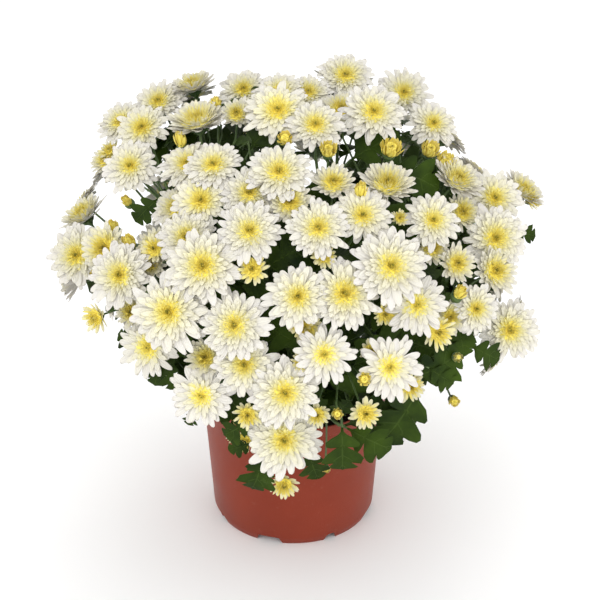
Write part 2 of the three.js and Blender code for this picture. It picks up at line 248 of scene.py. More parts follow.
# %% Node groups
def new_group(name, inputs, output):
    """An empty group, its input sockets and its one output. A first value of None means a place."""
    group = bpy.data.node_groups.new(name, "ShaderNodeTree")
    for label, value in inputs.items():
        kind = "NodeSocketVector" if value is None else "NodeSocketFloat"
        socket = group.interface.new_socket(label, in_out="INPUT", socket_type=kind)
        if value is not None:
            socket.default_value = value
    group.interface.new_socket(output, in_out="OUTPUT", socket_type="NodeSocketFloat")
    start, end = group.nodes.new("NodeGroupInput"), group.nodes.new("NodeGroupOutput")
    return group, start.outputs, end.inputs[output]


def use_group(tree, group, **values):
    return add_node(tree, "ShaderNodeGroup", values, node_tree=group)[0]


print("group tools: new_group, use_group")


# %% The mottle group
def make_mottle():
    """A soft cloud. Low and High are the noise's values that become 0 and 1."""
    inputs = {"Place": None, "Scale": 100.0, "Low": 0.35, "High": 0.65}
    group, start, end = new_group("mottle", inputs, "Mask")
    feeds = {"Vector": start["Place"], "Scale": start["Scale"], "Detail": 3.0}
    cloud = add_node(group, "ShaderNodeTexNoise", feeds)["Fac"]
    feeds = {"Value": cloud, "From Min": start["Low"], "From Max": start["High"]}
    feed(group, end, add_node(group, "ShaderNodeMapRange", feeds)["Result"])
    return group


MOTTLE = make_mottle()
print("group", MOTTLE.name, "with sockets", [item.name for item in MOTTLE.interface.items_tree])


# %% The lengthwise lines group
def make_lines():
    """Soft ridges that run along a petal. Across is -1 to 1 from edge to edge."""
    group, start, end = new_group("lengthwise lines", {"Across": 0.0, "Count": 3.0}, "Ridge")
    turns = calculate(group, "MULTIPLY", start["Across"], start["Count"])
    wave = calculate(group, "COSINE", calculate(group, "MULTIPLY", turns, math.pi))
    feed(group, end, calculate(group, "MULTIPLY_ADD", wave, 0.5, 0.5))
    return group


LINES = make_lines()
print("group", LINES.name)


# %% The veins group
SIDE_VEIN_WIDTH = 0.06
SIDE_VEIN_REACH = 1.05  # where the side veins have faded, in half widths of the leaf


def make_veins():
    """A midrib and slanting side veins. Along runs 0 to 1 from leaf base to tip."""
    inputs = {"Across": 0.0, "Along": 0.0, "Count": 5.0, "Slant": 0.3, "Width": 0.06}
    group, start, end = new_group("veins", inputs, "Vein")
    side = calculate(group, "ABSOLUTE", start["Across"])
    rib = calculate(group, "SUBTRACT", 1.0, calculate(group, "DIVIDE", side, start["Width"]))
    back = calculate(group, "MULTIPLY", side, start["Slant"])
    level = calculate(group, "SUBTRACT", start["Along"], back)
    turns = calculate(group, "FRACT", calculate(group, "MULTIPLY", level, start["Count"]))
    off = calculate(group, "ABSOLUTE", calculate(group, "SUBTRACT", turns, 0.5))
    branch = calculate(group, "SUBTRACT", 1.0, calculate(group, "DIVIDE", off, SIDE_VEIN_WIDTH))
    faded = calculate(group, "MULTIPLY", branch, calculate(group, "SUBTRACT", SIDE_VEIN_REACH, side))
    feed(group, end, calculate(group, "MAXIMUM", calculate(group, "MAXIMUM", rib, 0.0), faded))
    return group


VEINS = make_veins()
print("group", VEINS.name)


# %% [markdown]
# ## The finishes
# A ray floret is white where it is old and outermost, cream further in, and golden yellow at the
# heart, so its colour follows a number kept on its mesh: how near the heart it sits. That number
# rises a little towards its foot. Leaves, stems and the pot take their colour from their own place.

# %% A finish and its colours
COLOUR_FACTOR, FIRST_COLOUR, SECOND_COLOUR, MIXED_COLOUR = 0, 6, 7, 2  # a Mix node's sockets


def new_finish(name, roughness, shine):
    finish = bpy.data.materials.new(name)
    finish.use_nodes = True
    tree = finish.node_tree
    shader = tree.nodes["Principled BSDF"]
    shader.inputs["Roughness"].default_value = roughness
    shader.inputs["Specular IOR Level"].default_value = shine
    return finish, tree, shader


def mottle(tree, place, scale, low=0.35, high=0.65):
    return use_group(tree, MOTTLE, Place=place, Scale=scale, Low=low, High=high)


def mix_colours(tree, factor, first, second, mode="MIX"):
    feeds = {COLOUR_FACTOR: factor, FIRST_COLOUR: first, SECOND_COLOUR: second}
    outputs = add_node(tree, "ShaderNodeMix", feeds, data_type="RGBA", blend_type=mode)
    return outputs[MIXED_COLOUR]


def ramp(tree, factor, stops):
    """Colour by factor. stops are (place, (red, green, blue)) from 0 to 1."""
    node = tree.nodes.new("ShaderNodeValToRGB")
    line = node.color_ramp
    while len(line.elements) < len(stops):
        line.elements.new(0.5)
    for element, (place, colour) in zip(line.elements, stops):
        element.position = place
        element.color = (*colour, 1)
    feed(tree, node.inputs["Fac"], factor)
    return node.outputs["Color"]


print("colour tools: mottle, mix_colours, ramp")


# %% Bumps and uneven gloss
def add_bump(tree, shader, height, distance):
    bump = add_node(tree, "ShaderNodeBump", {"Height": height, "Distance": distance})
    feed(tree, shader.inputs["Normal"], bump["Normal"])


def spread_roughness(tree, shader, mask, low, high):
    spread = add_node(tree, "ShaderNodeMapRange", {"Value": mask, "To Min": low, "To Max": high})
    feed(tree, shader.inputs["Roughness"], spread["Result"])


print("surface tools: add_bump, spread_roughness")


# %% Floret finish
FLORET_COLOURS = [  # from the outermost florets to the heart, and last the green eye
    (0.00, (0.75, 0.72, 0.67)), (0.20, (0.77, 0.74, 0.635)), (0.42, (0.84, 0.80, 0.58)),
    (0.55, (0.93, 0.87, 0.46)), (0.66, (0.98, 0.88, 0.28)), (0.78, (0.98, 0.83, 0.15)),
    (0.95, (0.96, 0.78, 0.10)), (1.00, (0.48, 0.44, 0.07)),
]
PATCH_WARMTH = 0.04  # how much nearer the heart's colour a floret's patches are
# The grooves between a petal's lengthwise ridges are darkened in colour: painted shade, in a faintly cool
# grey.
GROOVE_PAINTED_SHADE, GROOVE_SHADE_STRENGTH, LINE_HEIGHT = (0.96, 0.96, 0.97), 0.35, 0.15 * MM
GLOW, GLOW_COLOURS, GLOW_DEPTH = 0.15, (1.0, 0.95, 0.75), 2 * MM  # light that passes through


def floret_finish():
    finish, tree, shader = new_finish("ray_floret", roughness=0.62, shine=0.3)
    patches = mottle(tree, object_place(tree), scale=160.0)
    warmth = calculate(tree, "MULTIPLY_ADD", patches, PATCH_WARMTH, read_attribute(tree, "heart"))
    ridge = use_group(tree, LINES, Across=read_attribute(tree, "across"), Count=3.0)
    # Painted shade: the colour is darkened in the grooves between the ridges.
    groove_shade = calculate(tree, "MULTIPLY", calculate(tree, "SUBTRACT", 1.0, ridge), GROOVE_SHADE_STRENGTH)
    colour = mix_colours(tree, groove_shade, ramp(tree, warmth, FLORET_COLOURS), GROOVE_PAINTED_SHADE, "MULTIPLY")
    feed(tree, shader.inputs["Base Color"], colour)
    shader.inputs["Subsurface Weight"].default_value = GLOW
    shader.inputs["Subsurface Radius"].default_value = GLOW_COLOURS
    shader.inputs["Subsurface Scale"].default_value = GLOW_DEPTH
    add_bump(tree, shader, ridge, LINE_HEIGHT)
    return finish


FLORET = floret_finish()
print("finish", FLORET.name)


# %% Leaf finish
LEAF_DARK, LEAF_LIGHT = (0.008, 0.020, 0.002), (0.040, 0.074, 0.006)
LEAF_UNDER = (0.075, 0.12, 0.035)
VEIN_COLOUR, VEIN_STRENGTH = (0.095, 0.15, 0.03), 0.32
GRAIN_SHARE, LEAF_BUMP = 0.35, 0.25 * MM


def leaf_finish():
    finish, tree, shader = new_finish("leaf_blade", roughness=0.5, shine=0.10)
    along, across = read_attribute(tree, "along"), read_attribute(tree, "across")
    place = object_place(tree)
    patches = mottle(tree, place, scale=38.0, low=0.3, high=0.7)
    colour = mix_colours(tree, patches, LEAF_DARK, LEAF_LIGHT)
    veins = use_group(tree, VEINS, Across=across, Along=along, Count=4.0, Slant=0.16)
    colour = mix_colours(tree, calculate(tree, "MULTIPLY", veins, VEIN_STRENGTH), colour, VEIN_COLOUR)
    colour = mix_colours(tree, read_attribute(tree, "under"), colour, LEAF_UNDER)
    feed(tree, shader.inputs["Base Color"], colour)
    spread_roughness(tree, shader, patches, low=0.42, high=0.6)
    sunk = calculate(tree, "MULTIPLY", veins, -1.0)
    grain = mottle(tree, place, scale=420.0)
    add_bump(tree, shader, calculate(tree, "MULTIPLY_ADD", grain, GRAIN_SHARE, sunk), LEAF_BUMP)
    return finish


LEAF = leaf_finish()
print("finish", LEAF.name)


# %% Finishes in two colours
def two_tone(name, colours, patches, roughness, shine, grain=None, height=0.0, gloss=None):
    """A finish in soft patches of two colours. Its bumps follow its grain, or else its patches."""
    finish, tree, shader = new_finish(name, roughness, shine)
    place = object_place(tree)
    mask = mottle(tree, place, **patches)
    feed(tree, shader.inputs["Base Color"], mix_colours(tree, mask, *colours))
    if gloss:
        spread_roughness(tree, shader, mask, *gloss)
    if height:
        add_bump(tree, shader, mottle(tree, place, grain) if grain else mask, height)
    return finish


SKIN = {"roughness": 0.55, "shine": 0.5, "grain": 900.0, "height": 0.15 * MM, "gloss": (0.45, 0.65)}
STEM = two_tone("stem_skin", ((0.045, 0.085, 0.022), (0.13, 0.20, 0.06)), {"scale": 120.0}, **SKIN)
CALYX = two_tone("calyx_green", ((0.03, 0.07, 0.018), (0.10, 0.16, 0.04)), {"scale": 260.0}, **SKIN)
PEAT = two_tone(
    "peat", ((0.012, 0.008, 0.005), (0.055, 0.034, 0.020)), {"scale": 330.0}, roughness=0.95, shine=0.15,
    height=0.8 * MM,
)
STUDIO_FLOOR = two_tone(
    "studio_floor", ((0.99, 0.99, 0.99), (0.9801, 0.9801, 0.9801)), {"scale": 2.0}, roughness=0.9,
    shine=0.0,
)
floor_mesh.materials.append(STUDIO_FLOOR)
print("finishes", [finish.name for finish in (STEM, CALYX, PEAT, STUDIO_FLOOR)])


# %% Pot finish
DUST, DUST_STRENGTH = (0.42, 0.22, 0.16), 0.10


def dust(finish):
    """Puts fine pale specks over a finish's colour."""
    tree = finish.node_tree
    base = tree.nodes["Principled BSDF"].inputs["Base Color"]
    clean = base.links[0].from_socket
    specks = mottle(tree, object_place(tree), scale=260.0, low=0.62, high=0.8)
    feed(tree, base, mix_colours(tree, calculate(tree, "MULTIPLY", specks, DUST_STRENGTH), clean, DUST))


TERRACOTTA = two_tone(
    "terracotta_plastic", ((0.205, 0.029, 0.012), (0.250, 0.037, 0.016)),
    {"scale": 14.0, "low": 0.3, "high": 0.7}, roughness=0.42, shine=0.2, grain=1500.0,
    height=0.06 * MM, gloss=(0.36, 0.5),
)
dust(TERRACOTTA)
print("finish", TERRACOTTA.name)


# %% [markdown]
# ## The pot
# A nursery pot is one thin injection-moulded shell: a side that widens upwards, a stepped band
# round the rim, a floor raised over a foot skirt, and notches in that skirt to let water out. A
# half outline spun round the axis gives the whole shell, wall thickness included. The notches
# then need no cutting: the skirt's lowest rings are lifted where a notch is. Only the drain
# holes go through a face, so a Boolean modifier cuts those.

# %% The pot's measures
POT_HEIGHT, POT_WALL = 125 * MM, 1.1 * MM
FOOT_RADIUS, BEVEL_HEIGHT, SIDE_RADIUS = 69.5 * MM, 8 * MM, 73 * MM
SHOULDER_RADIUS, BAND_HEIGHT, BAND_STEP = 80 * MM, 12 * MM, 2.4 * MM
RIM_RADIUS, FLOOR_HEIGHT = 85 * MM, 8.2 * MM
NOTCH_HEIGHT, NOTCH_WIDE, NOTCH_NARROW = 7 * MM, 24 * MM, 11 * MM
NOTCH_COUNT, NOTCH_FIRST = 8, math.radians(-107.5)
DRAIN_RADIUS, DRAIN_RING, DRAIN_CENTRE = 5 * MM, 52 * MM, 7 * MM
BAND_FOOT = POT_HEIGHT - BAND_HEIGHT
FLOOR_TOP = FLOOR_HEIGHT + POT_WALL
BAND_LIP = SHOULDER_RADIUS + BAND_STEP


def wall_radius(z):
    share = (z - BEVEL_HEIGHT) / (BAND_FOOT - BEVEL_HEIGHT)
    return blend(SIDE_RADIUS, SHOULDER_RADIUS, share)


def inner_radius(z):
    return wall_radius(z) - POT_WALL


print("pot", round(POT_HEIGHT / MM), "mm high,", round(2 * RIM_RADIUS / MM), "mm across the rim")


# %% The shell's outline
SKIRT, SKIRT_STEP = 1.6 * MM, 0.4 * MM  # the foot skirt's thickness, and its step under the floor
LIP, LIP_FALL = 1 * MM, 4 * MM           # the rim band's small slants
RIM_ROUND, RIM_CREST = 0.8 * MM, 0.5 * MM
CORNER = 2 * MM                          # where the side meets the floor inside
# These rings across the floor, up the side and inside only keep the faces short.
FLOOR_RINGS, SIDE_RINGS, INNER_RING = (44 * MM, 60 * MM), (45 * MM, 82 * MM), 60 * MM
MERGE_NEAR = 0.01 * MM


def spin_outline(outline, steps):
    """A bmesh of an outline of (radius, height) spun round the upright axis."""
    bm = bmesh.new()
    points = [bm.verts.new((radius, 0, height)) for radius, height in outline]
    edges = [bm.edges.new(pair) for pair in zip(points, points[1:])]
    bmesh.ops.spin(
        bm, geom=points + edges, cent=(0, 0, 0), axis=(0, 0, 1), dvec=(0, 0, 0), angle=TURN,
        steps=steps, use_merge=True, use_duplicate=False,
    )
    bmesh.ops.remove_doubles(bm, verts=bm.verts, dist=MERGE_NEAR)
    bmesh.ops.recalc_face_normals(bm, faces=bm.faces)
    return bm


OUTSIDE = [
    (0, FLOOR_HEIGHT), *((radius, FLOOR_HEIGHT) for radius in FLOOR_RINGS),
    (inner_radius(BEVEL_HEIGHT) - SKIRT_STEP, FLOOR_HEIGHT), (FOOT_RADIUS - SKIRT, 0),
    (FOOT_RADIUS, 0), (SIDE_RADIUS, BEVEL_HEIGHT), *((wall_radius(z), z) for z in SIDE_RINGS),
    (SHOULDER_RADIUS, BAND_FOOT), (BAND_LIP, BAND_FOOT + LIP),
    (RIM_RADIUS - LIP, POT_HEIGHT - LIP_FALL), (RIM_RADIUS, POT_HEIGHT - RIM_ROUND),
    (RIM_RADIUS - RIM_CREST, POT_HEIGHT),
]
INSIDE = [
    (RIM_RADIUS - POT_WALL, POT_HEIGHT), (RIM_RADIUS - LIP - POT_WALL, POT_HEIGHT - LIP_FALL),
    (BAND_LIP - POT_WALL, BAND_FOOT + LIP + POT_WALL), (inner_radius(BAND_FOOT), BAND_FOOT + POT_WALL),
    (inner_radius(INNER_RING), INNER_RING), (inner_radius(FLOOR_TOP + CORNER), FLOOR_TOP + CORNER),
    (inner_radius(FLOOR_TOP) - CORNER, FLOOR_TOP),
    *((radius, FLOOR_TOP) for radius in reversed(FLOOR_RINGS)), (0, FLOOR_TOP),
]
print("the shell's half outline has", len(OUTSIDE + INSIDE), "points")


# %% The notches and the shell
POT_STEPS = 144
SLANT_OUT, SLANT_IN = 0.5 * MM, 2.2 * MM  # a notch's side slants from outside to inside its edge
CORNER_TURN, CORNER_ROUND = math.radians(38), 0.35 * MM


def lift_notches(bm):
    """Raises the skirt's lowest rings where the eight notches are, with slanted sides."""
    step = TURN / NOTCH_COUNT
    slope = (SIDE_RADIUS - FOOT_RADIUS) / BEVEL_HEIGHT
    for vert in bm.verts:
        if vert.co.z > MERGE_NEAR:
            continue
        angle = math.atan2(vert.co.y, vert.co.x) - NOTCH_FIRST
        index = round(angle / step)
        half = (NOTCH_WIDE if index % 2 == 0 else NOTCH_NARROW) / 2
        off = abs(angle - index * step) * FOOT_RADIUS
        lift = NOTCH_HEIGHT * ease(off, half + SLANT_OUT, half - SLANT_IN)
        radius = vert.co.xy.length
        vert.co.xy *= (radius + slope * lift) / radius
        vert.co.z = lift


def make_pot_shell():
    bm = spin_outline(OUTSIDE + INSIDE, POT_STEPS)
    lift_notches(bm)
    corners = [e for e in bm.edges if e.is_manifold and e.calc_face_angle(0) > CORNER_TURN]
    bmesh.ops.bevel(
        bm, geom=corners, offset=CORNER_ROUND, offset_type="OFFSET", segments=2, profile=0.5,
        affect="EDGES", material=-1, clamp_overlap=True,
    )
    for vert in bm.verts:
        vert.co.z = max(vert.co.z, 0)
    return to_mesh("pot_shell", bm, [TERRACOTTA])


shell_mesh = make_pot_shell()
print("shell without drain holes:", len(shell_mesh.polygons), "faces")


# %% The drain holes
HOLE_SIDES = 24


def drain_places():
    """The radius and place of each hole: one in the middle, and one between every two notches."""
    yield DRAIN_CENTRE, 0.0, 0.0
    for index in range(NOTCH_COUNT):
        angle = NOTCH_FIRST + TURN * (index + 0.5) / NOTCH_COUNT
        yield DRAIN_RADIUS, DRAIN_RING * math.cos(angle), DRAIN_RING * math.sin(angle)


def cut_drains(mesh):
    """The shell's mesh with its drain holes cut by a Boolean modifier."""
    bm = bmesh.new()
    for radius, x, y in drain_places():
        bmesh.ops.create_cone(
            bm, cap_ends=True, segments=HOLE_SIDES, radius1=radius, radius2=radius,
            depth=6 * POT_WALL, matrix=Matrix.Translation((x, y, FLOOR_HEIGHT + POT_WALL / 2)),
        )
    cutter = add_object("drain_cutter", to_mesh("drain_cutter", bm, []))
    shell = add_object("shell", mesh)
    cut = shell.modifiers.new("drains", "BOOLEAN")
    cut.object = cutter
    cut.solver = "EXACT"
    ready = shell.evaluated_get(bpy.context.evaluated_depsgraph_get())
    result = bpy.data.meshes.new_from_object(ready)
    bpy.data.objects.remove(shell)
    bpy.data.objects.remove(cutter)
    return shade(result)


pot = place_piece("pot_shell", cut_drains(shell_mesh), "pot", "pot")
print("pot shell:", len(pot.data.polygons), "faces")


# %% [markdown]
# ## The potting mix
# Peat settles to about 15 mm under the rim and crowns a little at the middle. A spun fill gets
# its lumps from noise, and loose crumbs lie over it. The crumbs are one twenty-faced ball, copied
# with its own squash and turn each time.

# %% The fill
MIX_TOP, MIX_CROWN = 109 * MM, 3 * MM
MIX_STEPS, MIX_RINGS = 72, 16
LUMP_HEIGHT = 2.2 * MM
COARSE, FINE, FINE_SHARE, FINE_SLICE = 70, 190, 0.5, 0.02  # two layers of noise, and its slices
EDGE_FADE = 8  # the higher, the nearer to the wall the lumps stay full
CLEARANCE, FILL_CORNER = 0.3 * MM, (2.4 * MM, 3 * MM)


def mix_height(x, y):
    share = min(math.hypot(x, y) / inner_radius(MIX_TOP), 1)
    lumps = noise.noise(Vector((x, y, 0)) * COARSE)
    lumps += FINE_SHARE * noise.noise(Vector((x, y, FINE_SLICE)) * FINE)
    return MIX_TOP + MIX_CROWN * (1 - share * share) + LUMP_HEIGHT * lumps * (1 - share ** EDGE_FADE)


def make_fill():
    edge = inner_radius(MIX_TOP) - CLEARANCE
    foot = inner_radius(FLOOR_TOP) - CLEARANCE
    outline = [
        (0, FLOOR_TOP + CLEARANCE), (foot - FILL_CORNER[0], FLOOR_TOP + CLEARANCE),
        (foot, FLOOR_TOP + FILL_CORNER[1]), (blend(foot, edge, 0.5), blend(FLOOR_TOP, MIX_TOP, 0.5)),
    ]
    outline += [(edge * (1 - i / MIX_RINGS), MIX_TOP) for i in range(MIX_RINGS + 1)]
    bm = spin_outline(outline, MIX_STEPS)
    for vert in bm.verts:
        if vert.co.z > MIX_TOP - MM:
            vert.co.z = mix_height(vert.co.x, vert.co.y)
    return to_mesh("mix_fill", bm, [PEAT])


place_piece("mix_fill", make_fill(), "mix", "potting_mix")
print("the mix at the middle is", round(mix_height(0, 0) / MM, 1), "mm high")


# %% The crumbs
CRUMB_COUNT, CRUMB_SEED = 420, 11
CRUMB_RADII = 0.7 * MM, 2.3 * MM
CRUMB_SQUASHES = (0.7, 1.3), (0.6, 1.2), (0.5, 0.9)
CRUMB_MARGIN, CRUMB_PROUD = 2.5 * MM, 0.2  # from the pot's wall, and above the mix in radii


def random_turn(rng):
    axis = Vector((rng.gauss(0, 1), rng.gauss(0, 1), rng.gauss(0, 1))).normalized()
    return Matrix.Rotation(rng.uniform(0, TURN), 4, axis)


def make_crumbs():
    rng = random.Random(CRUMB_SEED)
    bm = bmesh.new()
    for _ in range(CRUMB_COUNT):
        radius = blend(*CRUMB_RADII, rng.random() ** 2)
        reach = (inner_radius(MIX_TOP) - CRUMB_MARGIN) * math.sqrt(rng.random())
        angle = rng.uniform(0, TURN)
        x, y = reach * math.cos(angle), reach * math.sin(angle)
        squash = Matrix.Diagonal([rng.uniform(*ends) for ends in CRUMB_SQUASHES] + [1])
        place = Matrix.Translation((x, y, mix_height(x, y) + CRUMB_PROUD * radius))
        bmesh.ops.create_icosphere(
            bm, subdivisions=1, radius=radius, matrix=place @ random_turn(rng) @ squash,
        )
    return to_mesh("mix_crumbs", bm, [PEAT])


crumbs = place_piece("mix_crumbs", make_crumbs(), "mix")
print("mix:", CRUMB_COUNT, "crumbs,", len(crumbs.data.polygons), "faces")


# %% [markdown]
# ## The dome of blooms
# The blooms' centres lie on a dome: a wide half ellipsoid over a shallower one, with a loose hem
# over the rim. A head on the near side is placed by the line of sight that it lies on, which
# meets the dome at one point.

# %% Lines of sight
CROWN_CENTRE, CROWN_RADIUS = 225 * MM, 190 * MM
CROWN_RISE, CROWN_DROP = 170 * MM, 110 * MM
HEM_HEIGHT, HEM_RADIUS = 136 * MM, 112 * MM


def sight_line(u, v):
    """The way the eye looks to see a point u to the right and v down in its square picture."""
    right, up = (u - PICTURE_MIDDLE) / FOCAL, (PICTURE_MIDDLE - v) / FOCAL
    return FORWARD + RIGHT * right + UPWARD * up


def nearest_reach(a, b, c):
    return (-b - math.sqrt(max(b * b - a * c, 0))) / a


def meet_dome(ray, height, out):
    width = CROWN_RADIUS + out
    shrink = Matrix.Diagonal((1 / width, 1 / width, 1 / (height + out)))
    start, step = shrink @ (EYE - CROWN_CENTRE * UP), shrink @ ray
    return EYE + ray * nearest_reach(step.dot(step), start.dot(step), start.dot(start) - 1)


def meet_hem(ray, out):
    flat_ray, flat_eye = ray.xy, EYE.xy
    miss = flat_eye.dot(flat_eye) - (HEM_RADIUS + out) ** 2
    return EYE + ray * nearest_reach(flat_ray.dot(flat_ray), flat_eye.dot(flat_ray), miss)


def crown_point(u, v, out=0.0):
    """Where a line of sight meets the dome, moved out or in by out metres."""
    ray = sight_line(u, v)
    upper = meet_dome(ray, CROWN_RISE, out)
    if upper.z >= CROWN_CENTRE:
        return upper
    lower = meet_dome(ray, CROWN_DROP, out)
    return lower if lower.z > HEM_HEIGHT else meet_hem(ray, out)


def dome_normal(point):
    height = CROWN_RISE if point.z >= CROWN_CENTRE else CROWN_DROP
    level = (point.z - CROWN_CENTRE) / height ** 2
    return Vector((point.x / CROWN_RADIUS ** 2, point.y / CROWN_RADIUS ** 2, level)).normalized()


seen_middle = crown_point(PICTURE_MIDDLE, PICTURE_MIDDLE)
print("the middle line of sight meets the dome at", [round(x, 3) for x in seen_middle])


# %% The near side's blooms
# Each row: u, v, diameter in mm, then if need be mm out of the dome, turn to the eye, tip up.
FRONT_BLOOMS = [
    (193, 85, 42, -6, 0.3, 0.3), (160, 104, 50, -10, 0.55), (197, 120, 56, 6, 0.1, 0.7),
    (143, 129, 50, 4, 0.6), (122, 124, 46, -14, 0.55), (244, 92, 48, -12, 0.6), (237, 115, 30, 2),
    (278, 112, 60, 8), (131, 167, 50, 8, 0.65), (108, 160, 34, -8), (188, 166, 50, 0, 0.42, 0.3),
    (214, 167, 48, 6, 0.42, 0.3), (279, 174, 54, 6, 0.42, 0.2), (202, 202, 52, 2), (250, 195, 48, 0),
    (290, 203, 38, 2), (83, 214, 46, 0, 0.1, 0.7), (188, 238, 50, 2), (250, 232, 52, 6),
    (79, 256, 56, 2, 0.6), (106, 249, 42, 8), (204, 267, 62, 8), (122, 276, 56, 10),
    (156, 248, 32, -6), (152, 264, 28, -6), (170, 312, 66, 12), (235, 325, 56, 6),
    (132, 312, 28, -2), (298, 297, 54, 6), (345, 78, 52, 2, 0.62), (403, 94, 52, 0, 0.72),
    (373, 114, 56, 8, 0.55), (432, 125, 48, 4, 0.55), (315, 127, 50, 6), (341, 111, 38, -10),
    (333, 184, 37, 0, 0.3, 0.5), (388, 184, 46, 2, 0.4, 0.9), (458, 179, 47, 2, 0.2, 0.3),
    (493, 199, 57, 6, 0.65), (523, 190, 45, -8, 0.3, 0.4), (461, 213, 34, -8),
    (362, 217, 54, 4, 0.42, 0.25), (318, 229, 50, 6), (432, 221, 51, 4), (494, 239, 57, 4, 0.7),
    (390, 267, 62, 14), (431, 248, 32, -6), (456, 264, 34, 2), (494, 271, 42, 4), (344, 294, 58, 4),
    (416, 305, 50, 0), (474, 309, 46, 2), (449, 317, 31, -6), (508, 330, 55, 8, 0.68),
    (324, 354, 46, 4), (389, 367, 50, 8), (149, 347, 48, -6), (245, 364, 54, 0), (202, 395, 50, 4),
    (285, 392, 58, 6), (284, 439, 66, 8, 0.72), (178, 209, 46, -14, 0.2, 0.1),
    (280, 93, 46, -12, 0.5), (308, 95, 46, -14, 0.5),
]
NEAR_LIFT = 0.12  # how far every head there tips up


@dataclass
class Head:
    """A bloom's or bud's place, the way it looks, and its size."""
    point: Vector
    facing: Vector
    diameter: float


def to_eye(point):
    return (EYE - point).normalized()


def make_head(u, v, diameter, out=0, turn=0.42, tip=0):
    point = crown_point(u, v, out * MM)
    facing = dome_normal(point) * (1 - turn) + to_eye(point) * turn
    facing.z += NEAR_LIFT + tip
    return Head(point, facing.normalized(), diameter * MM)


front = [make_head(*row) for row in FRONT_BLOOMS]
print("blooms on the near side:", len(front))


# %% [markdown]
# ## The far side
# The far side has blooms too, on the same dome. A golden-angle spiral spreads their places
# evenly, because no two of its points come close. Seen from the front they must not stick out past
# the near side's outline, so each is drawn towards the dome's middle until that outline covers it.

# %% A place that the near side covers
DOME_MIDDLE = CROWN_CENTRE * UP
DRAW_STEP, DRAW_MOST = 0.02, 0.3  # shares of the way to the dome's middle
COVERED = 0.85                    # how much of a head's radius has to be hidden
CLEARING = 135, 215, 30  # u, v and radius of a loose spot, where the eye sees through the dome


def seen_at(point):
    """Where the eye sees a point, right of and above the picture's middle, and the scale there."""
    way = point - EYE
    scale = FOCAL / way.dot(FORWARD)
    return way.x * scale, way.dot(UPWARD) * scale, scale


MIDDLE_X, MIDDLE_Y, _ = seen_at(DOME_MIDDLE)


def seen_disc(point, diameter):
    """Where the eye sees a head's disc, from the dome's middle, and its radius."""
    x, y, scale = seen_at(point)
    return x - MIDDLE_X, y - MIDDLE_Y, diameter / 2 * scale


near_discs = [seen_disc(head.point, head.diameter) for head in front]


def outline_reach(x, y):
    """How far the near side's outline reaches in the direction of a seen place."""
    length, most = math.hypot(x, y), 0.0
    for disc_x, disc_y, radius in near_discs:
        along, off = (disc_x * x + disc_y * y) / length, (disc_x * y - disc_y * x) / length
        if abs(off) < radius:
            most = max(most, along + math.sqrt(radius ** 2 - off ** 2))
    return most


def drawn_in(point, diameter):
    """The point moved in until a head there is covered, or None if it would move too far."""
    for step in range(int(DRAW_MOST / DRAW_STEP + 1.5)):
        moved = point.lerp(DOME_MIDDLE, DRAW_STEP * step)
        x, y, radius = seen_disc(moved, diameter)
        if math.hypot(x, y) + COVERED * radius < outline_reach(x, y):
            return moved
    return None


def in_clearing(point):
    x, y, _ = seen_at(point)
    u, v, radius = CLEARING
    return math.hypot(PICTURE_MIDDLE + x - u, PICTURE_MIDDLE - y - v) < radius


print("straight up, the near side's outline reaches", round(outline_reach(0, 1)), "from the middle")


# %% The far side's blooms
GOLDEN_SHARE = (math.sqrt(5) - 1) / 2
GOLDEN_ANGLE = TURN * (1 - GOLDEN_SHARE)
FAR_COUNT, FAR_SPACING, FAR_OUT = 150, 46 * MM, 7 * MM
FAR_LOWEST, FAR_HIGHEST = -0.62, 0.99  # the sines that the spiral runs between
TURNED_AWAY = 0.35  # a head on the far side faces the eye less than this
FAR_DIAMETERS, FAR_LIFT = (46 * MM, 58 * MM), 0.24


def spiral_point(index, count, out):
    """A point of a golden-angle spiral over the dome, from the low hem to the top."""
    sine = blend(FAR_LOWEST, FAR_HIGHEST, (index + 0.5) / count)
    height = out + (CROWN_RISE if sine > 0 else CROWN_DROP)
    radius = (CROWN_RADIUS + out) * math.sqrt(1 - sine * sine)
    angle = GOLDEN_ANGLE * index
    return Vector((radius * math.cos(angle), radius * math.sin(angle), CROWN_CENTRE + height * sine))


def far_heads(placed):
    heads = []
    for index in range(FAR_COUNT):
        diameter = blend(*FAR_DIAMETERS, (index * GOLDEN_SHARE) % 1)
        on_dome = spiral_point(index, FAR_COUNT, FAR_OUT)
        facing = dome_normal(on_dome)
        if facing.dot(to_eye(on_dome)) > TURNED_AWAY:
            continue
        point = drawn_in(on_dome, diameter)
        if point is None or in_clearing(point):
            continue
        if any((other.point - point).length < FAR_SPACING for other in placed + heads):
            continue
        facing.z += FAR_LIFT
        heads.append(Head(point, facing.normalized(), diameter))
    return heads


blooms = sorted(front + far_heads(front), key=lambda head: -head.diameter)
own_count = sum(name.startswith("bloom_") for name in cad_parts)
worst = 0.0
for index, head in enumerate(blooms[:own_count]):
    low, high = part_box(f"bloom_{index + 1:02d}")
    gap = max(max(low[i] - head.point[i], head.point[i] - high[i]) for i in range(3))
    worst = max(worst, gap)
print("blooms in all:", len(blooms), "worst distance outside its node's box:", round(worst / MM, 3), "mm")


# %% [markdown]
# ## Stems, shoots and stalks
# Each cutting has a main stem. Up to six shoots leave it, a low, a middle and a high one on
# either side, and each bloom's stalk leaves the shoot of its own side and height. All three are
# smooth curves, and a stalk starts in its shoot's direction, as a plant grows. A skin is drawn
# over each curve by extruding a small ring step by step, narrowing it on the way.

# %% Curves
HANDLE = 0.38  # a curve's handles, as a share of its span


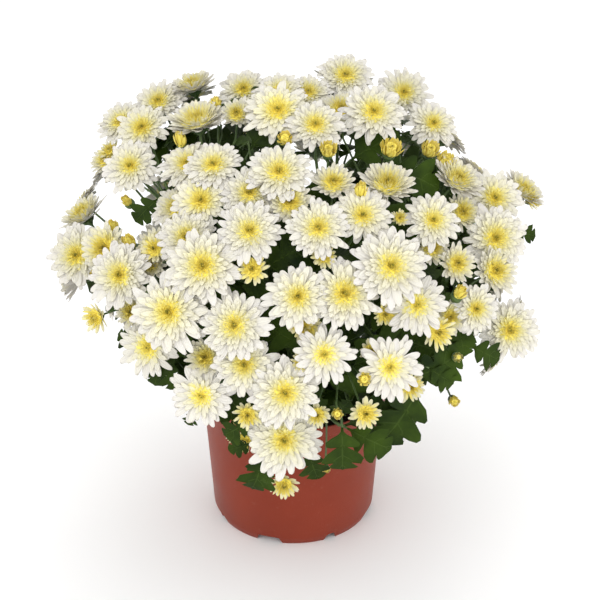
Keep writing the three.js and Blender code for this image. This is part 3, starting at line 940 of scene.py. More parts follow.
@dataclass
class Curve:
    """A smooth path with four control points."""
    controls: list

    def point(self, share):
        a, b, c, d = self.controls
        rest = 1 - share
        return rest ** 3 * a + 3 * rest ** 2 * share * b + 3 * rest * share ** 2 * c + share ** 3 * d

    def heading(self, share):
        a, b, c, d = self.controls
        rest = 1 - share
        way = rest ** 2 * (b - a) + 2 * rest * share * (c - b) + share ** 2 * (d - c)
        return way.normalized()


def curve_between(start, leaving, end, arriving):
    span = (end - start).length * HANDLE
    return Curve([start, start + leaving * span, end - arriving * span, end])


def square_to(heading, angle):
    """A direction square to a heading, turned round it by an angle."""
    return Matrix.Rotation(angle, 3, heading) @ heading.orthogonal().normalized()


def flattened(direction, normal):
    """A direction with what points along a normal taken out."""
    return (direction - normal * normal.dot(direction)).normalized()


print("a curve's handles reach", HANDLE, "of its span")


# %% The cuttings' plan
CUTTINGS, CUTTING_FIRST = 5, math.radians(-90)
ROOT_RADIUS, ROOT_DEPTH = 40 * MM, 45 * MM
STEM_TOP_RADIUS, STEM_TOP_HEIGHT = 54 * MM, 179 * MM
SHOOTS, SHOOT_FROM, SHOOT_TO = 6, 0.62, 0.98  # shoots leave the main stem between these shares
SHOOT_REACH, SHOOT_CLIMB = 0.62, 0.5  # how far towards its blooms, and how steeply it starts
BAND_FEET = 200 * MM, 300 * MM  # where the middle and the high shoots' blooms begin
STALK_FROM, STALK_TO = 0.55, 0.95
CALYX_DEPTH = 0.3  # how far below a bloom's middle its stalk ends, in bloom radii
JOINED_DIAMETER = 40 * MM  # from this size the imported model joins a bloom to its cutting


def cutting_angle(cutting):
    return CUTTING_FIRST + TURN / CUTTINGS * cutting


def on_circle(radius, angle, z):
    return Vector((radius * math.cos(angle), radius * math.sin(angle), z))


def cutting_of(point):
    turns = (math.atan2(point.y, point.x) - CUTTING_FIRST) / (TURN / CUTTINGS)
    return math.floor(turns + 0.5) % CUTTINGS


def shoot_of(point, cutting):
    side = 0 if math.sin(math.atan2(point.y, point.x) - cutting_angle(cutting)) < 0 else 1
    return 2 * sum(point.z > foot for foot in BAND_FEET) + side


def main_stem(cutting):
    root = on_circle(ROOT_RADIUS, cutting_angle(cutting), MIX_TOP - ROOT_DEPTH)
    top = on_circle(STEM_TOP_RADIUS, cutting_angle(cutting), STEM_TOP_HEIGHT)
    return curve_between(root, UP, top, (top - root).normalized())


def shoot_path(stem, order, ends):
    middle = sum(ends, Vector()) / len(ends)
    start = stem.point(blend(SHOOT_FROM, SHOOT_TO, order / (SHOOTS - 1)))
    away = (middle - start).normalized()
    leaving = (away + SHOOT_CLIMB * UP).normalized()
    return curve_between(start, leaving, start.lerp(middle, SHOOT_REACH), away)


def stalk_end(head, inset=-CLEARANCE):
    return head.point - head.facing * (CALYX_DEPTH * head.diameter / 2 - inset)


print(CUTTINGS, "cuttings with up to", SHOOTS, "shoots each")


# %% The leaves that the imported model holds
# Each row: u, v, length in mm, bearing of the tip clockwise from up in degrees, mm out.
BIG_LEAVES = [
    (420, 388, 52, 212, -10), (414, 378, 42, 62, -12), (471, 346, 28, 116, -6),
    (342, 427, 36, 178, 6), (347, 428, 38, 118, 2), (265, 456, 34, 197, 2), (308, 450, 28, 165, -4),
    (163, 357, 24, 198, -14), (388, 166, 44, 112, -16), (442, 352, 58, 290, -22),
]
FACE_TO_EYE = 0.6  # a blade's face turns from the dome's normal to the eye by this share


@dataclass
class Blade:
    """A leaf's place: its base, the way it points, the way its face looks, and its length."""
    base: Vector
    along: Vector
    face: Vector
    length: float


def make_blade(u, v, length, bearing, out):
    base = crown_point(u, v, out * MM)
    face = (dome_normal(base) * (1 - FACE_TO_EYE) + to_eye(base) * FACE_TO_EYE).normalized()
    bearing = math.radians(bearing)
    along = flattened(RIGHT * math.sin(bearing) + UPWARD * math.cos(bearing), face)
    return Blade(base, along, face, length * MM)


big_leaves = [make_blade(*row) for row in BIG_LEAVES]
print("large leaves:", len(big_leaves))


# %% Which shoot carries what
@dataclass
class Target:
    """What a stalk reaches, the way it arrives, and the shoot that carries it."""
    end: Vector
    arriving: Vector
    cutting: int = 0
    shoot: int = 0

    def __post_init__(self):
        self.cutting = cutting_of(self.end)
        self.shoot = shoot_of(self.end, self.cutting)


own_heads, other_heads = blooms[:own_count], blooms[own_count:]
joined_heads = [head for head in other_heads if head.diameter >= JOINED_DIAMETER]
small_heads = [head for head in other_heads if head.diameter < JOINED_DIAMETER]
targets = [Target(stalk_end(head), head.facing) for head in own_heads]
targets += [Target(stalk_end(head, MM), head.facing) for head in joined_heads]
targets += [Target(leaf.base, leaf.along) for leaf in big_leaves]

stems = [main_stem(cutting) for cutting in range(CUTTINGS)]
shoots = {}
stalks = []
for cutting, stem in enumerate(stems):
    for order in range(SHOOTS):
        mine = [t for t in targets if (t.cutting, t.shoot) == (cutting, order)]
        if not mine:
            continue
        shoot = shoot_path(stem, order, [t.end for t in mine])
        shoots[cutting, order] = shoot
        for i, target in enumerate(mine):
            share = blend(STALK_FROM, STALK_TO, (i + 1) / len(mine))
            start, leaving = shoot.point(share), shoot.heading(share)
            stalks.append((cutting, curve_between(start, leaving, target.end, target.arriving)))
print(len(shoots), "shoots carry", len(stalks), "stalks")


# %% Drawing a skin over a curve
STEM_RADII, SHOOT_RADII = (3.2 * MM, 2.6 * MM), (2.2 * MM, 1.7 * MM)
STALK_RADII, THIN_RADII = (1.2 * MM, 1.0 * MM), (0.9 * MM, 0.8 * MM)


def ring_frame(point, heading, before):
    """Where a ring lies: at point, square to heading, without twisting against the one before."""
    turn = (before.to_3x3() @ UP).rotation_difference(heading)
    return Matrix.Translation(point) @ (turn.to_matrix() @ before.to_3x3()).to_4x4()


def draw_skin(bm, curve, radii, sides, steps):
    """Extrudes a ring along a curve, from the first radius to the second, and closes its ends."""
    now = ring_frame(curve.point(0), curve.heading(0), Matrix.Identity(4))
    ring = bmesh.ops.create_circle(bm, cap_ends=True, segments=sides, radius=radii[0], matrix=now)
    edges = list(ring["verts"][0].link_faces[0].edges)
    for step in range(1, steps + 1):
        grown = bmesh.ops.extrude_edge_only(bm, edges=edges)["geom"]
        fresh = [g for g in grown if isinstance(g, bmesh.types.BMVert)]
        edges = [g for g in grown if isinstance(g, bmesh.types.BMEdge) and
                 all(v in fresh for v in g.verts)]
        share = step / steps
        following = ring_frame(curve.point(share), curve.heading(share), now)
        narrow = Matrix.Scale(blend(*radii, share) / blend(*radii, (step - 1) / steps), 4)
        bmesh.ops.transform(bm, matrix=following @ narrow @ now.inverted(), verts=fresh)
        now = following
    bmesh.ops.edgeloop_fill(bm, edges=edges)


skin = bmesh.new()
draw_skin(skin, stems[0], STEM_RADII, sides=12, steps=8)
print("one main stem:", len(skin.faces), "faces, closed:", all(e.is_manifold for e in skin.edges))
skin.free()


# %% [markdown]
# ## One floret
# A chrysanthemum petal is a whole small flower with a strap-shaped ray. The strap is narrow at
# its foot, widest past its middle and rounded at its tip, and it bends, cups and leans as a whole.
# It is a small grid laid along an arc, and a copy of that grid a wall lower that meets it all
# round the rim. So the floret is a closed body with thin edges. Twenty faces have to be enough,
# because a bloom holds up to two hundred florets and the plant about twenty thousand.

# %% Bending a grid into a strap
@dataclass
class Strap:
    length: float
    half_width: float
    rise: float          # how steeply it leaves its foot, in radians
    bend: float          # how far it has turned upwards by its tip
    cup: float           # how far its edges stand up, in half widths
    twist: float = 0.0   # how far it has turned about its own length by its tip
    lean: float = 0.0    # how far its tip lies to one side, in lengths
    rows: int = 4
    foot: float = 0.42   # widths at the foot and the tip, as shares of the widest
    tip: float = 0.52
    fade: float = 0.12   # how much nearer the heart's colour its foot is


STRAP_WALL = 0.014   # of the bloom's radius
STRAP_ROUND = 0.045  # how far the edges fall back at the tip
BELLY = 0.68         # where along it the strap is widest
CROWDING = 1.5       # how much its rows crowd towards the tip
STRAIGHT = 1e-3      # a smaller bend counts as none
MERGE = 1e-6


def strap_width(strap, along):
    belly = strap.foot + (1 - strap.foot) * math.sin(min(along / BELLY, 1) * math.pi / 2)
    return belly * (1 - (1 - strap.tip) * max(0, (along - BELLY) / (1 - BELLY)) ** 2)


def arc_place(length, rise, bend, along):
    """How far out and up an arc has come, and how steep it is, at a share of its length."""
    steep = rise + bend * along
    if abs(bend) < STRAIGHT:
        return length * along * math.cos(rise), length * along * math.sin(rise), steep
    out = length * (math.sin(steep) - math.sin(rise)) / bend
    up = length * (math.cos(rise) - math.cos(steep)) / bend
    return out, up, steep


def bend_point(strap, along, across, wall):
    """Where a point of the flat grid lies on the strap, a wall lower where there is one."""
    half = strap.half_width * strap_width(strap, along)
    fallen = along * (1 - STRAP_ROUND * across ** 2 * along)
    out, up, steep = arc_place(strap.length, strap.rise, strap.bend, fallen)
    lift = strap.cup * half * across * across + half * across * math.sin(strap.twist * along) - wall
    side = strap.lean * strap.length * along * along - half * across
    return Vector((out - lift * math.sin(steep), side, up + lift * math.cos(steep)))


print("an arc that turns by a right angle ends at", [round(x, 2) for x in arc_place(1, 0, math.pi / 2, 1)])


# %% The floret's two sides
def floret_layers(bm):
    """The numbers kept on every floret's points, made if they aren't there yet."""
    layers = bm.verts.layers.float
    return [layers.get(name) or layers.new(name) for name in ("along", "across", "heart")]


def add_strap(bm, strap, heart, matrix, finish=0):
    """Adds one floret along +X, in its place, with the mesh's finish of that number."""
    along_layer, across_layer, heart_layer = floret_layers(bm)
    face_side = bmesh.ops.create_grid(bm, x_segments=2, y_segments=strap.rows, size=0.5)["verts"]
    faces = list({face for vert in face_side for face in vert.link_faces})
    copies = bmesh.ops.duplicate(bm, geom=face_side + faces)["geom"]
    back_side = [g for g in copies if isinstance(g, bmesh.types.BMVert)]
    bmesh.ops.reverse_faces(bm, faces=[g for g in copies if isinstance(g, bmesh.types.BMFace)])
    for verts, wall in ((face_side, 0), (back_side, STRAP_WALL)):
        for vert in verts:
            across, along = 2 * vert.co.x, 1 - (0.5 - vert.co.y) ** CROWDING
            vert[along_layer], vert[across_layer] = along, across
            vert[heart_layer] = heart + strap.fade * (1 - along) ** 2
            vert.co = matrix @ bend_point(strap, along, across, 0 if vert.is_boundary else wall)
    bmesh.ops.remove_doubles(bm, verts=face_side + back_side, dist=MERGE)
    for vert in face_side + back_side:
        for face in vert.link_faces if vert.is_valid else ():
            face.material_index = finish


trial = bmesh.new()
add_strap(trial, Strap(length=0.86, half_width=0.11, rise=0.1, bend=-0.3, cup=0.2), 0, Matrix.Identity(4))
print("one floret:", len(trial.faces), "faces, closed:", all(e.is_manifold for e in trial.edges))
trial.free()


# %% [markdown]
# ## A bloom
# The florets of a real head stand in a golden-angle spiral: the oldest lie flat at the outside,
# each younger one is shorter, narrower and closer to the middle, and the youngest are thin yellow
# tubes around a green eye. Their tips together form the head's surface, a low cushion. So a plan
# gives that surface as a half outline, and one loop sends a floret from the spiral's points to
# it. A cupped calyx with pointed bracts closes the head from below.

# %% Plans for the kinds of head
@dataclass
class Plan:
    count: int
    cushion: tuple       # where the tips lie, (out, up) in bloom radii, from the rim to the eye
    bends: tuple         # how far the outermost and the innermost curl up, in degrees
    widths: tuple        # half widths of the outermost and the innermost
    warmth: float = 0.0  # added to every floret's nearness to the heart
    core: float = 0.10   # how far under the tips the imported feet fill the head
    foot: float = 0.17   # radius of the ring that the outermost stand on
    ragged: float = 0.05  # how unevenly long the florets are
    calyx: float = 1.0   # the calyx's size
    eye: int = 3         # the innermost florets, which are still green
    bracts: float = 34   # how steeply the calyx's bracts rise, in degrees
    fade: float = 0.12   # how much nearer the heart's colour the florets' feet are
    variants: int = 2    # how many different heads are made


PLANS = {
    "flat": Plan(
        200, ((1.0, 0.02), (0.86, 0.11), (0.73, 0.18), (0.60, 0.23), (0.48, 0.27), (0.36, 0.29),
              (0.25, 0.30), (0.14, 0.28), (0.04, 0.25)), (-34, 0), (0.110, 0.028), ragged=0.06, variants=5,
    ),
    "loose": Plan(
        160, ((1.0, -0.06), (0.85, 0.06), (0.72, 0.13), (0.60, 0.18), (0.48, 0.22), (0.36, 0.25),
              (0.25, 0.26), (0.14, 0.25), (0.04, 0.21)), (-40, 0), (0.114, 0.031), ragged=0.09, variants=3,
    ),
    "bowl": Plan(
        190, ((1.0, 0.32), (0.87, 0.40), (0.74, 0.46), (0.61, 0.49), (0.48, 0.51), (0.36, 0.51),
              (0.25, 0.50), (0.14, 0.47), (0.04, 0.42)), (2, 10), (0.108, 0.028), core=0.24, ragged=0.06,
        variants=3,
    ),
    "young": Plan(
        140, ((1.0, 0.28), (0.86, 0.38), (0.73, 0.45), (0.60, 0.49), (0.48, 0.51), (0.36, 0.52),
              (0.25, 0.51), (0.14, 0.48), (0.04, 0.43)), (0, 20), (0.112, 0.034), warmth=0.14, core=0.24,
        ragged=0.07, bracts=42, variants=3,
    ),
    "open": Plan(
        95, ((1.0, 0.02), (0.97, 0.06), (0.80, 0.14), (0.60, 0.20), (0.42, 0.24), (0.28, 0.25),
             (0.15, 0.22), (0.04, 0.18)), (-26, 0), (0.128, 0.030), ragged=0.07,
    ),
    "star": Plan(
        64, ((1.0, 0.36), (0.92, 0.48), (0.66, 0.60), (0.42, 0.66), (0.23, 0.64), (0.05, 0.54)), (12, 30),
        (0.125, 0.050), warmth=0.36, core=0.36, ragged=0.08, calyx=1.3, bracts=45, fade=0.2,
        variants=3,
    ),
    "cup": Plan(
        80, ((0.80, 0.86), (0.72, 1.04), (0.54, 1.10), (0.36, 1.08), (0.20, 1.00), (0.05, 0.88)), (58, 45),
        (0.13, 0.05), warmth=0.62, core=0.24, foot=0.3, calyx=2.3, bracts=60, fade=0.15,
    ),
    "button": Plan(
        40, ((0.82, 0.50), (0.74, 0.78), (0.58, 0.90), (0.40, 0.94), (0.22, 0.90), (0.08, 0.78)), (80, 60),
        (0.17, 0.085), warmth=0.50, core=0.20, foot=0.5, calyx=3.2, eye=5, bracts=60, fade=0.15,
    ),
    "green": Plan(
        30, ((0.70, 0.60), (0.62, 0.86), (0.46, 0.98), (0.28, 1.00), (0.10, 0.92)), (80, 60),
        (0.17, 0.10), core=0.20, foot=0.5, calyx=3.6, eye=30, bracts=66, fade=0.1, variants=1,
    ),
    "tall": Plan(
        30, ((0.62, 1.10), (0.56, 1.40), (0.44, 1.60), (0.30, 1.70), (0.16, 1.72), (0.06, 1.66)), (34, 12),
        (0.22, 0.10), warmth=0.52, core=0.30, foot=0.46, calyx=3.5, eye=0, bracts=78, fade=0.3,
    ),
}
print("kinds of head:", ", ".join(PLANS))


# %% The calyx and the core
CALYX_OUTLINE = [  # below the florets, from the stalk up, in bloom radii
    (0.0, -0.32), (0.045, -0.32), (0.10, -0.24), (0.19, -0.13), (0.20, -0.02), (0.12, 0.03), (0.0, 0.04),
]
CALYX_SIDES = 12
BRACTS, BRACT_FOOT, BRACT_BEND, BRACT_SPREAD = 11, (0.09, 0, -0.22), math.radians(25), 0.2
CORE_SIDES, CORE_OUT, CORE_FOOT = 14, 0.70, 0.02
WARMEST = 0.78  # the heart value of the yellowest florets


def add_spun(bm, outline, steps, heart_of, finish):
    """Adds an outline spun round the upright axis. heart_of gives the heart value at a radius."""
    part = spin_outline(outline, steps)
    along_layer, _, heart_layer = floret_layers(part)
    for vert in part.verts:
        vert[along_layer], vert[heart_layer] = 1.0, heart_of(vert.co.xy.length)
    for face in part.faces:
        face.material_index, face.smooth = finish, True
    part_mesh = bpy.data.meshes.new("spun")
    part.to_mesh(part_mesh)
    part.free()
    take_in(bm, part_mesh)


def add_calyx(bm, rng, plan):
    outline = [(out * plan.calyx, up * plan.calyx) for out, up in CALYX_OUTLINE]
    add_spun(bm, outline, CALYX_SIDES, lambda radius: 0.0, finish=1)
    bract = Strap(
        length=0.30, half_width=0.062, rise=math.radians(plan.bracts), bend=BRACT_BEND,
        cup=0.5, rows=3, tip=0.2,
    )
    for index in range(BRACTS):
        turn = Matrix.Rotation(TURN * (index + rng.uniform(-BRACT_SPREAD, BRACT_SPREAD)) / BRACTS, 4, "Z")
        place = turn @ Matrix.Scale(plan.calyx, 4) @ Matrix.Translation(BRACT_FOOT)
        add_strap(bm, bract, 0.0, place, finish=1)


def add_core(bm, plan, warmth):
    """The close-packed lower halves of the florets, as one low dome under their tips."""
    tips = [(out * CORE_OUT, up - plan.core) for out, up in plan.cushion[2:]]
    outline = [(0, CORE_FOOT), (plan.foot, CORE_FOOT), *tips, (0, tips[-1][1])]
    add_spun(bm, outline, CORE_SIDES, lambda radius: min(1 - radius + warmth, WARMEST), finish=0)


print("a calyx is a cup with", BRACTS, "bracts")


# %% A floret's place in its head
INNER_FOOT, INNER_RISE = 0.004, 0.10  # where the innermost floret stands, out and up
NARROWING = 0.04, 0.70                # the shares between which the florets narrow
CUPS = 0.09, 0.3                      # of the outermost and the innermost
MOST_ROWS, ROW_LIMITS = 5, (0.25, 0.5, 0.75)  # one row less from each of these shares on
BEND_SPREAD, SLOPE_SPREAD = 5, 0.04   # these six vary by chance: degrees, then radians
WIDTH_SPREAD, TWIST_SPREAD, LEAN_SPREAD, AROUND_SPREAD = (0.88, 1.1), 0.18, 0.07, 0.08


def cushion_point(plan, share):
    """Where the tip of a floret lies, at a share of the way from the rim to the eye."""
    steps = len(plan.cushion) - 1
    step = min(int(share * steps), steps - 1)
    (out, up), (next_out, next_up) = plan.cushion[step:step + 2]
    part = share * steps - step
    return blend(out, next_out, part), blend(up, next_up, part)


def floret_strap(plan, share, rng):
    """The floret at a share of the way from the rim to the eye, and where it stands."""
    out, up = cushion_point(plan, share)
    foot_out, foot_up = plan.foot * math.sqrt(1 - share) + INNER_FOOT, INNER_RISE * share
    bend = math.radians(blend(*plan.bends, share) + rng.gauss(0, BEND_SPREAD))
    chord = math.hypot(out - foot_out, up - foot_up) * (1 + rng.gauss(0, plan.ragged))
    slope = math.atan2(up - foot_up, out - foot_out) + rng.gauss(0, SLOPE_SPREAD)
    strap = Strap(
        length=chord * (bend / 2) / math.sin(bend / 2),
        half_width=blend(*plan.widths, ease(share, *NARROWING)) * rng.uniform(*WIDTH_SPREAD),
        rise=slope - bend / 2, bend=bend, cup=blend(*CUPS, share),
        twist=rng.gauss(0, TWIST_SPREAD), lean=rng.gauss(0, LEAN_SPREAD),
        rows=MOST_ROWS - sum(share >= limit for limit in ROW_LIMITS), fade=plan.fade,
    )
    return strap, Matrix.Translation((foot_out, 0, foot_up))


trial_strap, _ = floret_strap(PLANS["flat"], 0, random.Random(0))
print("an outermost floret is", round(trial_strap.length, 2), "of its bloom's radius long")


# %% The heads' meshes
WARMTH_SPREAD, HEART_REACH = (-0.05, 0.07), 0.86
EYE_HEART = 1.2  # the heart value of the green eye
SEED_STEP = 20  # between the kinds' seeds


def make_bloom_mesh(name, plan, seed):
    rng = random.Random(seed)
    bm = bmesh.new()
    floret_layers(bm)
    add_calyx(bm, rng, plan)
    warmth = plan.warmth + rng.uniform(*WARMTH_SPREAD)
    add_core(bm, plan, warmth)
    for index in range(plan.count):
        share = index / (plan.count - 1)
        strap, foot = floret_strap(plan, share, rng)
        around = Matrix.Rotation(GOLDEN_ANGLE * index + rng.gauss(0, AROUND_SPREAD), 4, "Z")
        heart = min(HEART_REACH * (1 - cushion_point(plan, share)[0]) + warmth, WARMEST)
        if plan.count - index <= plan.eye:
            heart = EYE_HEART
        add_strap(bm, strap, heart, around @ foot)
    return to_mesh(name, bm, [FLORET, CALYX])


VARIANTS = {
    kind: [make_bloom_mesh(f"{kind}_{i}", plan, SEED_STEP * k + i) for i in range(plan.variants)]
    for k, (kind, plan) in enumerate(PLANS.items())
}
for kind, meshes in VARIANTS.items():
    print(kind, "heads:", [len(mesh.polygons) for mesh in meshes], "faces")


# %% Placing a head
SINK = {"bowl": -0.22, "young": -0.12, "cup": -0.3}  # along the facing, in bloom radii
DEPTH_SPREAD = 0.88, 1.12


def head_matrix(head, kind, spin, depth):
    """Turns a head's own +Z to its facing, at its size and place."""
    turn = UP.rotation_difference(head.facing).to_matrix().to_4x4()
    radius = head.diameter / 2
    size = Matrix.Diagonal((radius, radius, radius * depth, 1))
    down = Matrix.Translation((0, 0, SINK.get(kind, 0)))
    return Matrix.Translation(head.point) @ turn @ Matrix.Rotation(spin, 4, "Z") @ size @ down


def place_head(name, head, kind, rng, *nodes):
    variant = rng.choice(VARIANTS[kind])
    matrix = head_matrix(head, kind, rng.uniform(0, TURN), rng.uniform(*DEPTH_SPREAD))
    return place_piece(name, moved_copy(variant, matrix), "bloom", *nodes)


print("heads that sink into the dome:", ", ".join(SINK))


# %% Which kind of head stands where
YOUNG_DIAMETER = 44 * MM
FACING_EYE = 0.66  # a head on the near side that faces the eye less than this is a bowl
NEAR_CHOICES, FAR_CHOICES = ("flat", "flat", "loose"), ("flat", "flat", "loose", "bowl")
KINDS_AT = {  # the u and v of heads on the near side whose kind is listed here
    (324, 354): "open", (389, 367): "open", (202, 395): "open", (149, 347): "open", (416, 305): "open",
    (193, 85): "bowl", (388, 184): "bowl", (523, 190): "bowl",
}
HEAD_SEED = 5
set_kinds = {id(head): KINDS_AT.get(row[:2]) for head, row in zip(front, FRONT_BLOOMS)}
rng = random.Random(HEAD_SEED)


def kind_of(head):
    near = id(head) in set_kinds
    if near and set_kinds[id(head)]:
        return set_kinds[id(head)]
    if head.diameter < YOUNG_DIAMETER:
        return "young"
    if near and head.facing.dot(to_eye(head.point)) < FACING_EYE:
        return "bowl"
    return rng.choice(NEAR_CHOICES if near else FAR_CHOICES)


for index, head in enumerate(blooms):
    name = f"bloom_{index + 1:02d}"
    node = name if index < own_count else f"cutting_{cutting_of(head.point) + 1}"
    place_head(f"flower_{index + 1:02d}", head, kind_of(head), rng, node)
print("placed", len(blooms), "blooms")


# %% [markdown]
# ## Half-open heads and buds
# Between the blooms sit heads that are still opening, and buds. They are made like the blooms,
# from plans of their own. A star has a few spread florets round a yellow middle, a cup holds them
# upright, a button has them curled in over each other, a green bud is one that is still all
# green, and a tall bud is a closed bundle in a large calyx.

# %% Half-open heads and buds on the near side
# Each row: u, v, diameter in mm, then if need be mm out of the dome, turn to the eye, tip up.
HALF_OPEN = {
    "star": [
        (253, 270, 26, 2), (99, 316, 28, -4, 0.3, -0.3), (112, 152, 22, -10), (365, 413, 26, 6, 0.5, 0.2),
        (284, 481, 28, 24, 0.6, -0.2), (317, 413, 22, 0), (248, 413, 24, -2), (305, 326, 26, -6, 0.4, -0.3),
        (529, 201, 22, -10), (324, 257, 20, 0, 0.6), (370, 350, 18, -6), (244, 437, 26, 0, 0.3, 0.1),
        (409, 385, 26, -8), (436, 331, 28, -6, 0.4, -0.2), (156, 250, 24, 0), (300, 322, 22, -6),
        (384, 314, 20, -8, 0.4, -0.2), (399, 219, 14, 0), (302, 362, 17, 2, 0.6),
    ],
    "young": [(206, 358, 33, -5, 0.4, 0.3)],
    "cup": [
        (390, 151, 22, 4, 0.3, 0.3), (429, 152, 19, 0, 0.4, 0.2), (444, 163, 20, -2, 0.1, 0.3),
        (328, 152, 17, 6, 0.3, 0.2),
    ],
}
BUDS = {
    "button": [
        (285, 140, 15, 4, 0.6), (453, 400, 12, 4, 0.6), (364, 379, 13, 10, 0.6), (337, 413, 11, 8, 0.6),
        (238, 421, 9, 0, 0.6), (326, 468, 9, 10, 0.6), (96, 274, 10, 0, 0.6),
    ],
    "green": [(457, 357, 11, 2, 0.6)],
    "tall": [
        (217, 109, 13, 2, 0.0, 1.0), (182, 146, 14, 4, 0.0, 1.0), (115, 231, 14, 0, 0.0, 1.0),
        (132, 247, 14, 0, 0.0, 1.0), (129, 203, 12, -2), (457, 296, 14, 2, 0.0, 1.0),
        (360, 196, 14, 4, 0.0, 1.0),
    ],
}
print("small heads on the near side:", sum(len(rows) for rows in (*HALF_OPEN.values(), *BUDS.values())))


# %% Half-open heads and buds on the far side
FAR_HALF_OPEN = {  # how many, the first point of the spiral that is tried, diameter, out of the dome
    "star": (7, 3, 26 * MM, 0.0), "young": (2, 4, 32 * MM, 0.0), "cup": (3, 6, 20 * MM, 0.0),
}
FAR_BUDS = {
    "button": (4, 8, 12 * MM, 2 * MM), "green": (3, 9, 11 * MM, 2 * MM), "tall": (4, 5, 13 * MM, 3 * MM),
}
BEHIND, EXTRA_LIFT = 30 * MM, 0.4  # where the far side begins, and how far heads there tip up


def far_extras(count, first, diameter, out):
    """Small heads on the far side, at points of the same spiral."""
    heads = []
    for index in range(first, FAR_COUNT, FAR_COUNT // (2 * count)):
        point = drawn_in(spiral_point(index, FAR_COUNT, out), diameter)
        if point and point.y > BEHIND and len(heads) < count and not in_clearing(point):
            facing = (dome_normal(point) + EXTRA_LIFT * UP).normalized()
            heads.append(Head(point, facing, diameter))
    return heads


def place_small_heads(prefix, near, far):
    placed = []
    for kind, rows in near.items():
        for head in [make_head(*row) for row in rows] + far_extras(*far[kind]):
            placed.append(head)
            place_head(f"{prefix}_{len(placed):02d}", head, kind, rng)
    print("placed", len(placed), prefix)
    return placed


opening = place_small_heads("half_open", HALF_OPEN, FAR_HALF_OPEN)
buds = place_small_heads("bud", BUDS, FAR_BUDS)


# %% [markdown]
# ## A leaf
# The leaf is long, with two pairs of blunt lobes and a blunt, wavy tip. Its outline is a list of
# half widths along the midrib, and every point is swept towards the tip the further out it lies,
# which slants the lobes forward. The grid folds a little along the midrib and droops.

# %% The leaf's shape
LEAF_WIDTHS = [  # share of the length, half width as a share of the length
    (0.00, 0.018), (0.09, 0.028), (0.14, 0.09), (0.17, 0.22), (0.22, 0.31), (0.28, 0.35), (0.34, 0.33),
    (0.39, 0.25), (0.42, 0.11), (0.45, 0.23), (0.50, 0.36), (0.57, 0.43), (0.65, 0.43), (0.71, 0.35),
    (0.74, 0.18), (0.77, 0.24), (0.82, 0.28), (0.88, 0.24), (0.93, 0.15), (0.97, 0.07), (1.00, 0.02),
]
LEAF_COLUMNS, LEAF_WALL = 4, 0.009
LEAF_UNEVEN = 0.07                   # how much the lobes differ by chance
LEAF_SWEEP, TIP_SWEEP = 0.26, 0.5    # the sweep forward, and how much of it the tip loses
FOLDS, RUFFLES = (0.10, 0.22), (0.01, 0.03)  # how far the edges stand up, and their waves
RUFFLE_TURNS = 9                     # how fast the waves follow each other
RISES, DROOPS = (8, 22), (-50, -15)  # in degrees
LEAF_SHAPES, LEAF_SEED = 6, 100


def make_leaf_mesh(name, seed):
    """A leaf of length 1 from the origin along +Y, with its face to +Z."""
    rng = random.Random(seed)
    fold, droop = rng.uniform(*FOLDS), math.radians(rng.uniform(*DROOPS))
    rise, ruffle = math.radians(rng.uniform(*RISES)), rng.uniform(*RUFFLES)
    phase = rng.uniform(0, TURN)
    bm = bmesh.new()
    along_layer, across_layer, under_layer = (
        bm.verts.layers.float.new(label) for label in ("along", "across", "under")
    )
    steps = len(LEAF_WIDTHS) - 1
    uneven = [(rng.gauss(1, LEAF_UNEVEN), rng.gauss(1, LEAF_UNEVEN)) for _ in LEAF_WIDTHS]
    grid = bmesh.ops.create_grid(bm, x_segments=LEAF_COLUMNS, y_segments=steps, size=0.5)["verts"]
    for vert in grid:
        row, across = round((vert.co.y + 0.5) * steps), 2 * vert.co.x
        along, half = LEAF_WIDTHS[row]
        half *= uneven[row][across > 0]
        vert[along_layer], vert[across_layer] = along, across
        swept = along + LEAF_SWEEP * half * across * across * (1 - TIP_SWEEP * along)
        out, up, steep = arc_place(1.0, rise, droop, swept)
        lift = fold * half * abs(across)
        lift += ruffle * across * across * math.sin(RUFFLE_TURNS * along + phase)
        vert.co = (half * across, out - lift * math.sin(steep), up + lift * math.cos(steep))
    for face in bm.faces:
        face.normal_update()
    wall = bmesh.ops.solidify(bm, geom=list(bm.faces), thickness=LEAF_WALL)["geom"]
    for vert in wall:
        if isinstance(vert, bmesh.types.BMVert):
            vert[under_layer] = 1.0
    return to_mesh(name, bm, [LEAF])


LEAF_MESHES = [make_leaf_mesh(f"leaf_{shape}", LEAF_SEED + shape) for shape in range(LEAF_SHAPES)]
print("leaf:", len(LEAF_MESHES[0].polygons), "faces")


# %% Placing the large leaves
def blade_matrix(leaf):
    across = leaf.along.cross(leaf.face)
    turn = Matrix((across, leaf.along, leaf.face)).transposed().to_4x4()
    return Matrix.Translation(leaf.base) @ turn @ Matrix.Scale(leaf.length, 4)


def place_leaf(name, leaf, shape, *nodes):
    mesh = moved_copy(LEAF_MESHES[shape % LEAF_SHAPES], blade_matrix(leaf))
    place_piece(name, mesh, "leaf", *nodes)


for index, leaf in enumerate(big_leaves):
    place_leaf(f"big_leaf_{index + 1:02d}", leaf, index, f"leaf_{index + 1:02d}")
print("placed", len(big_leaves), "large leaves")


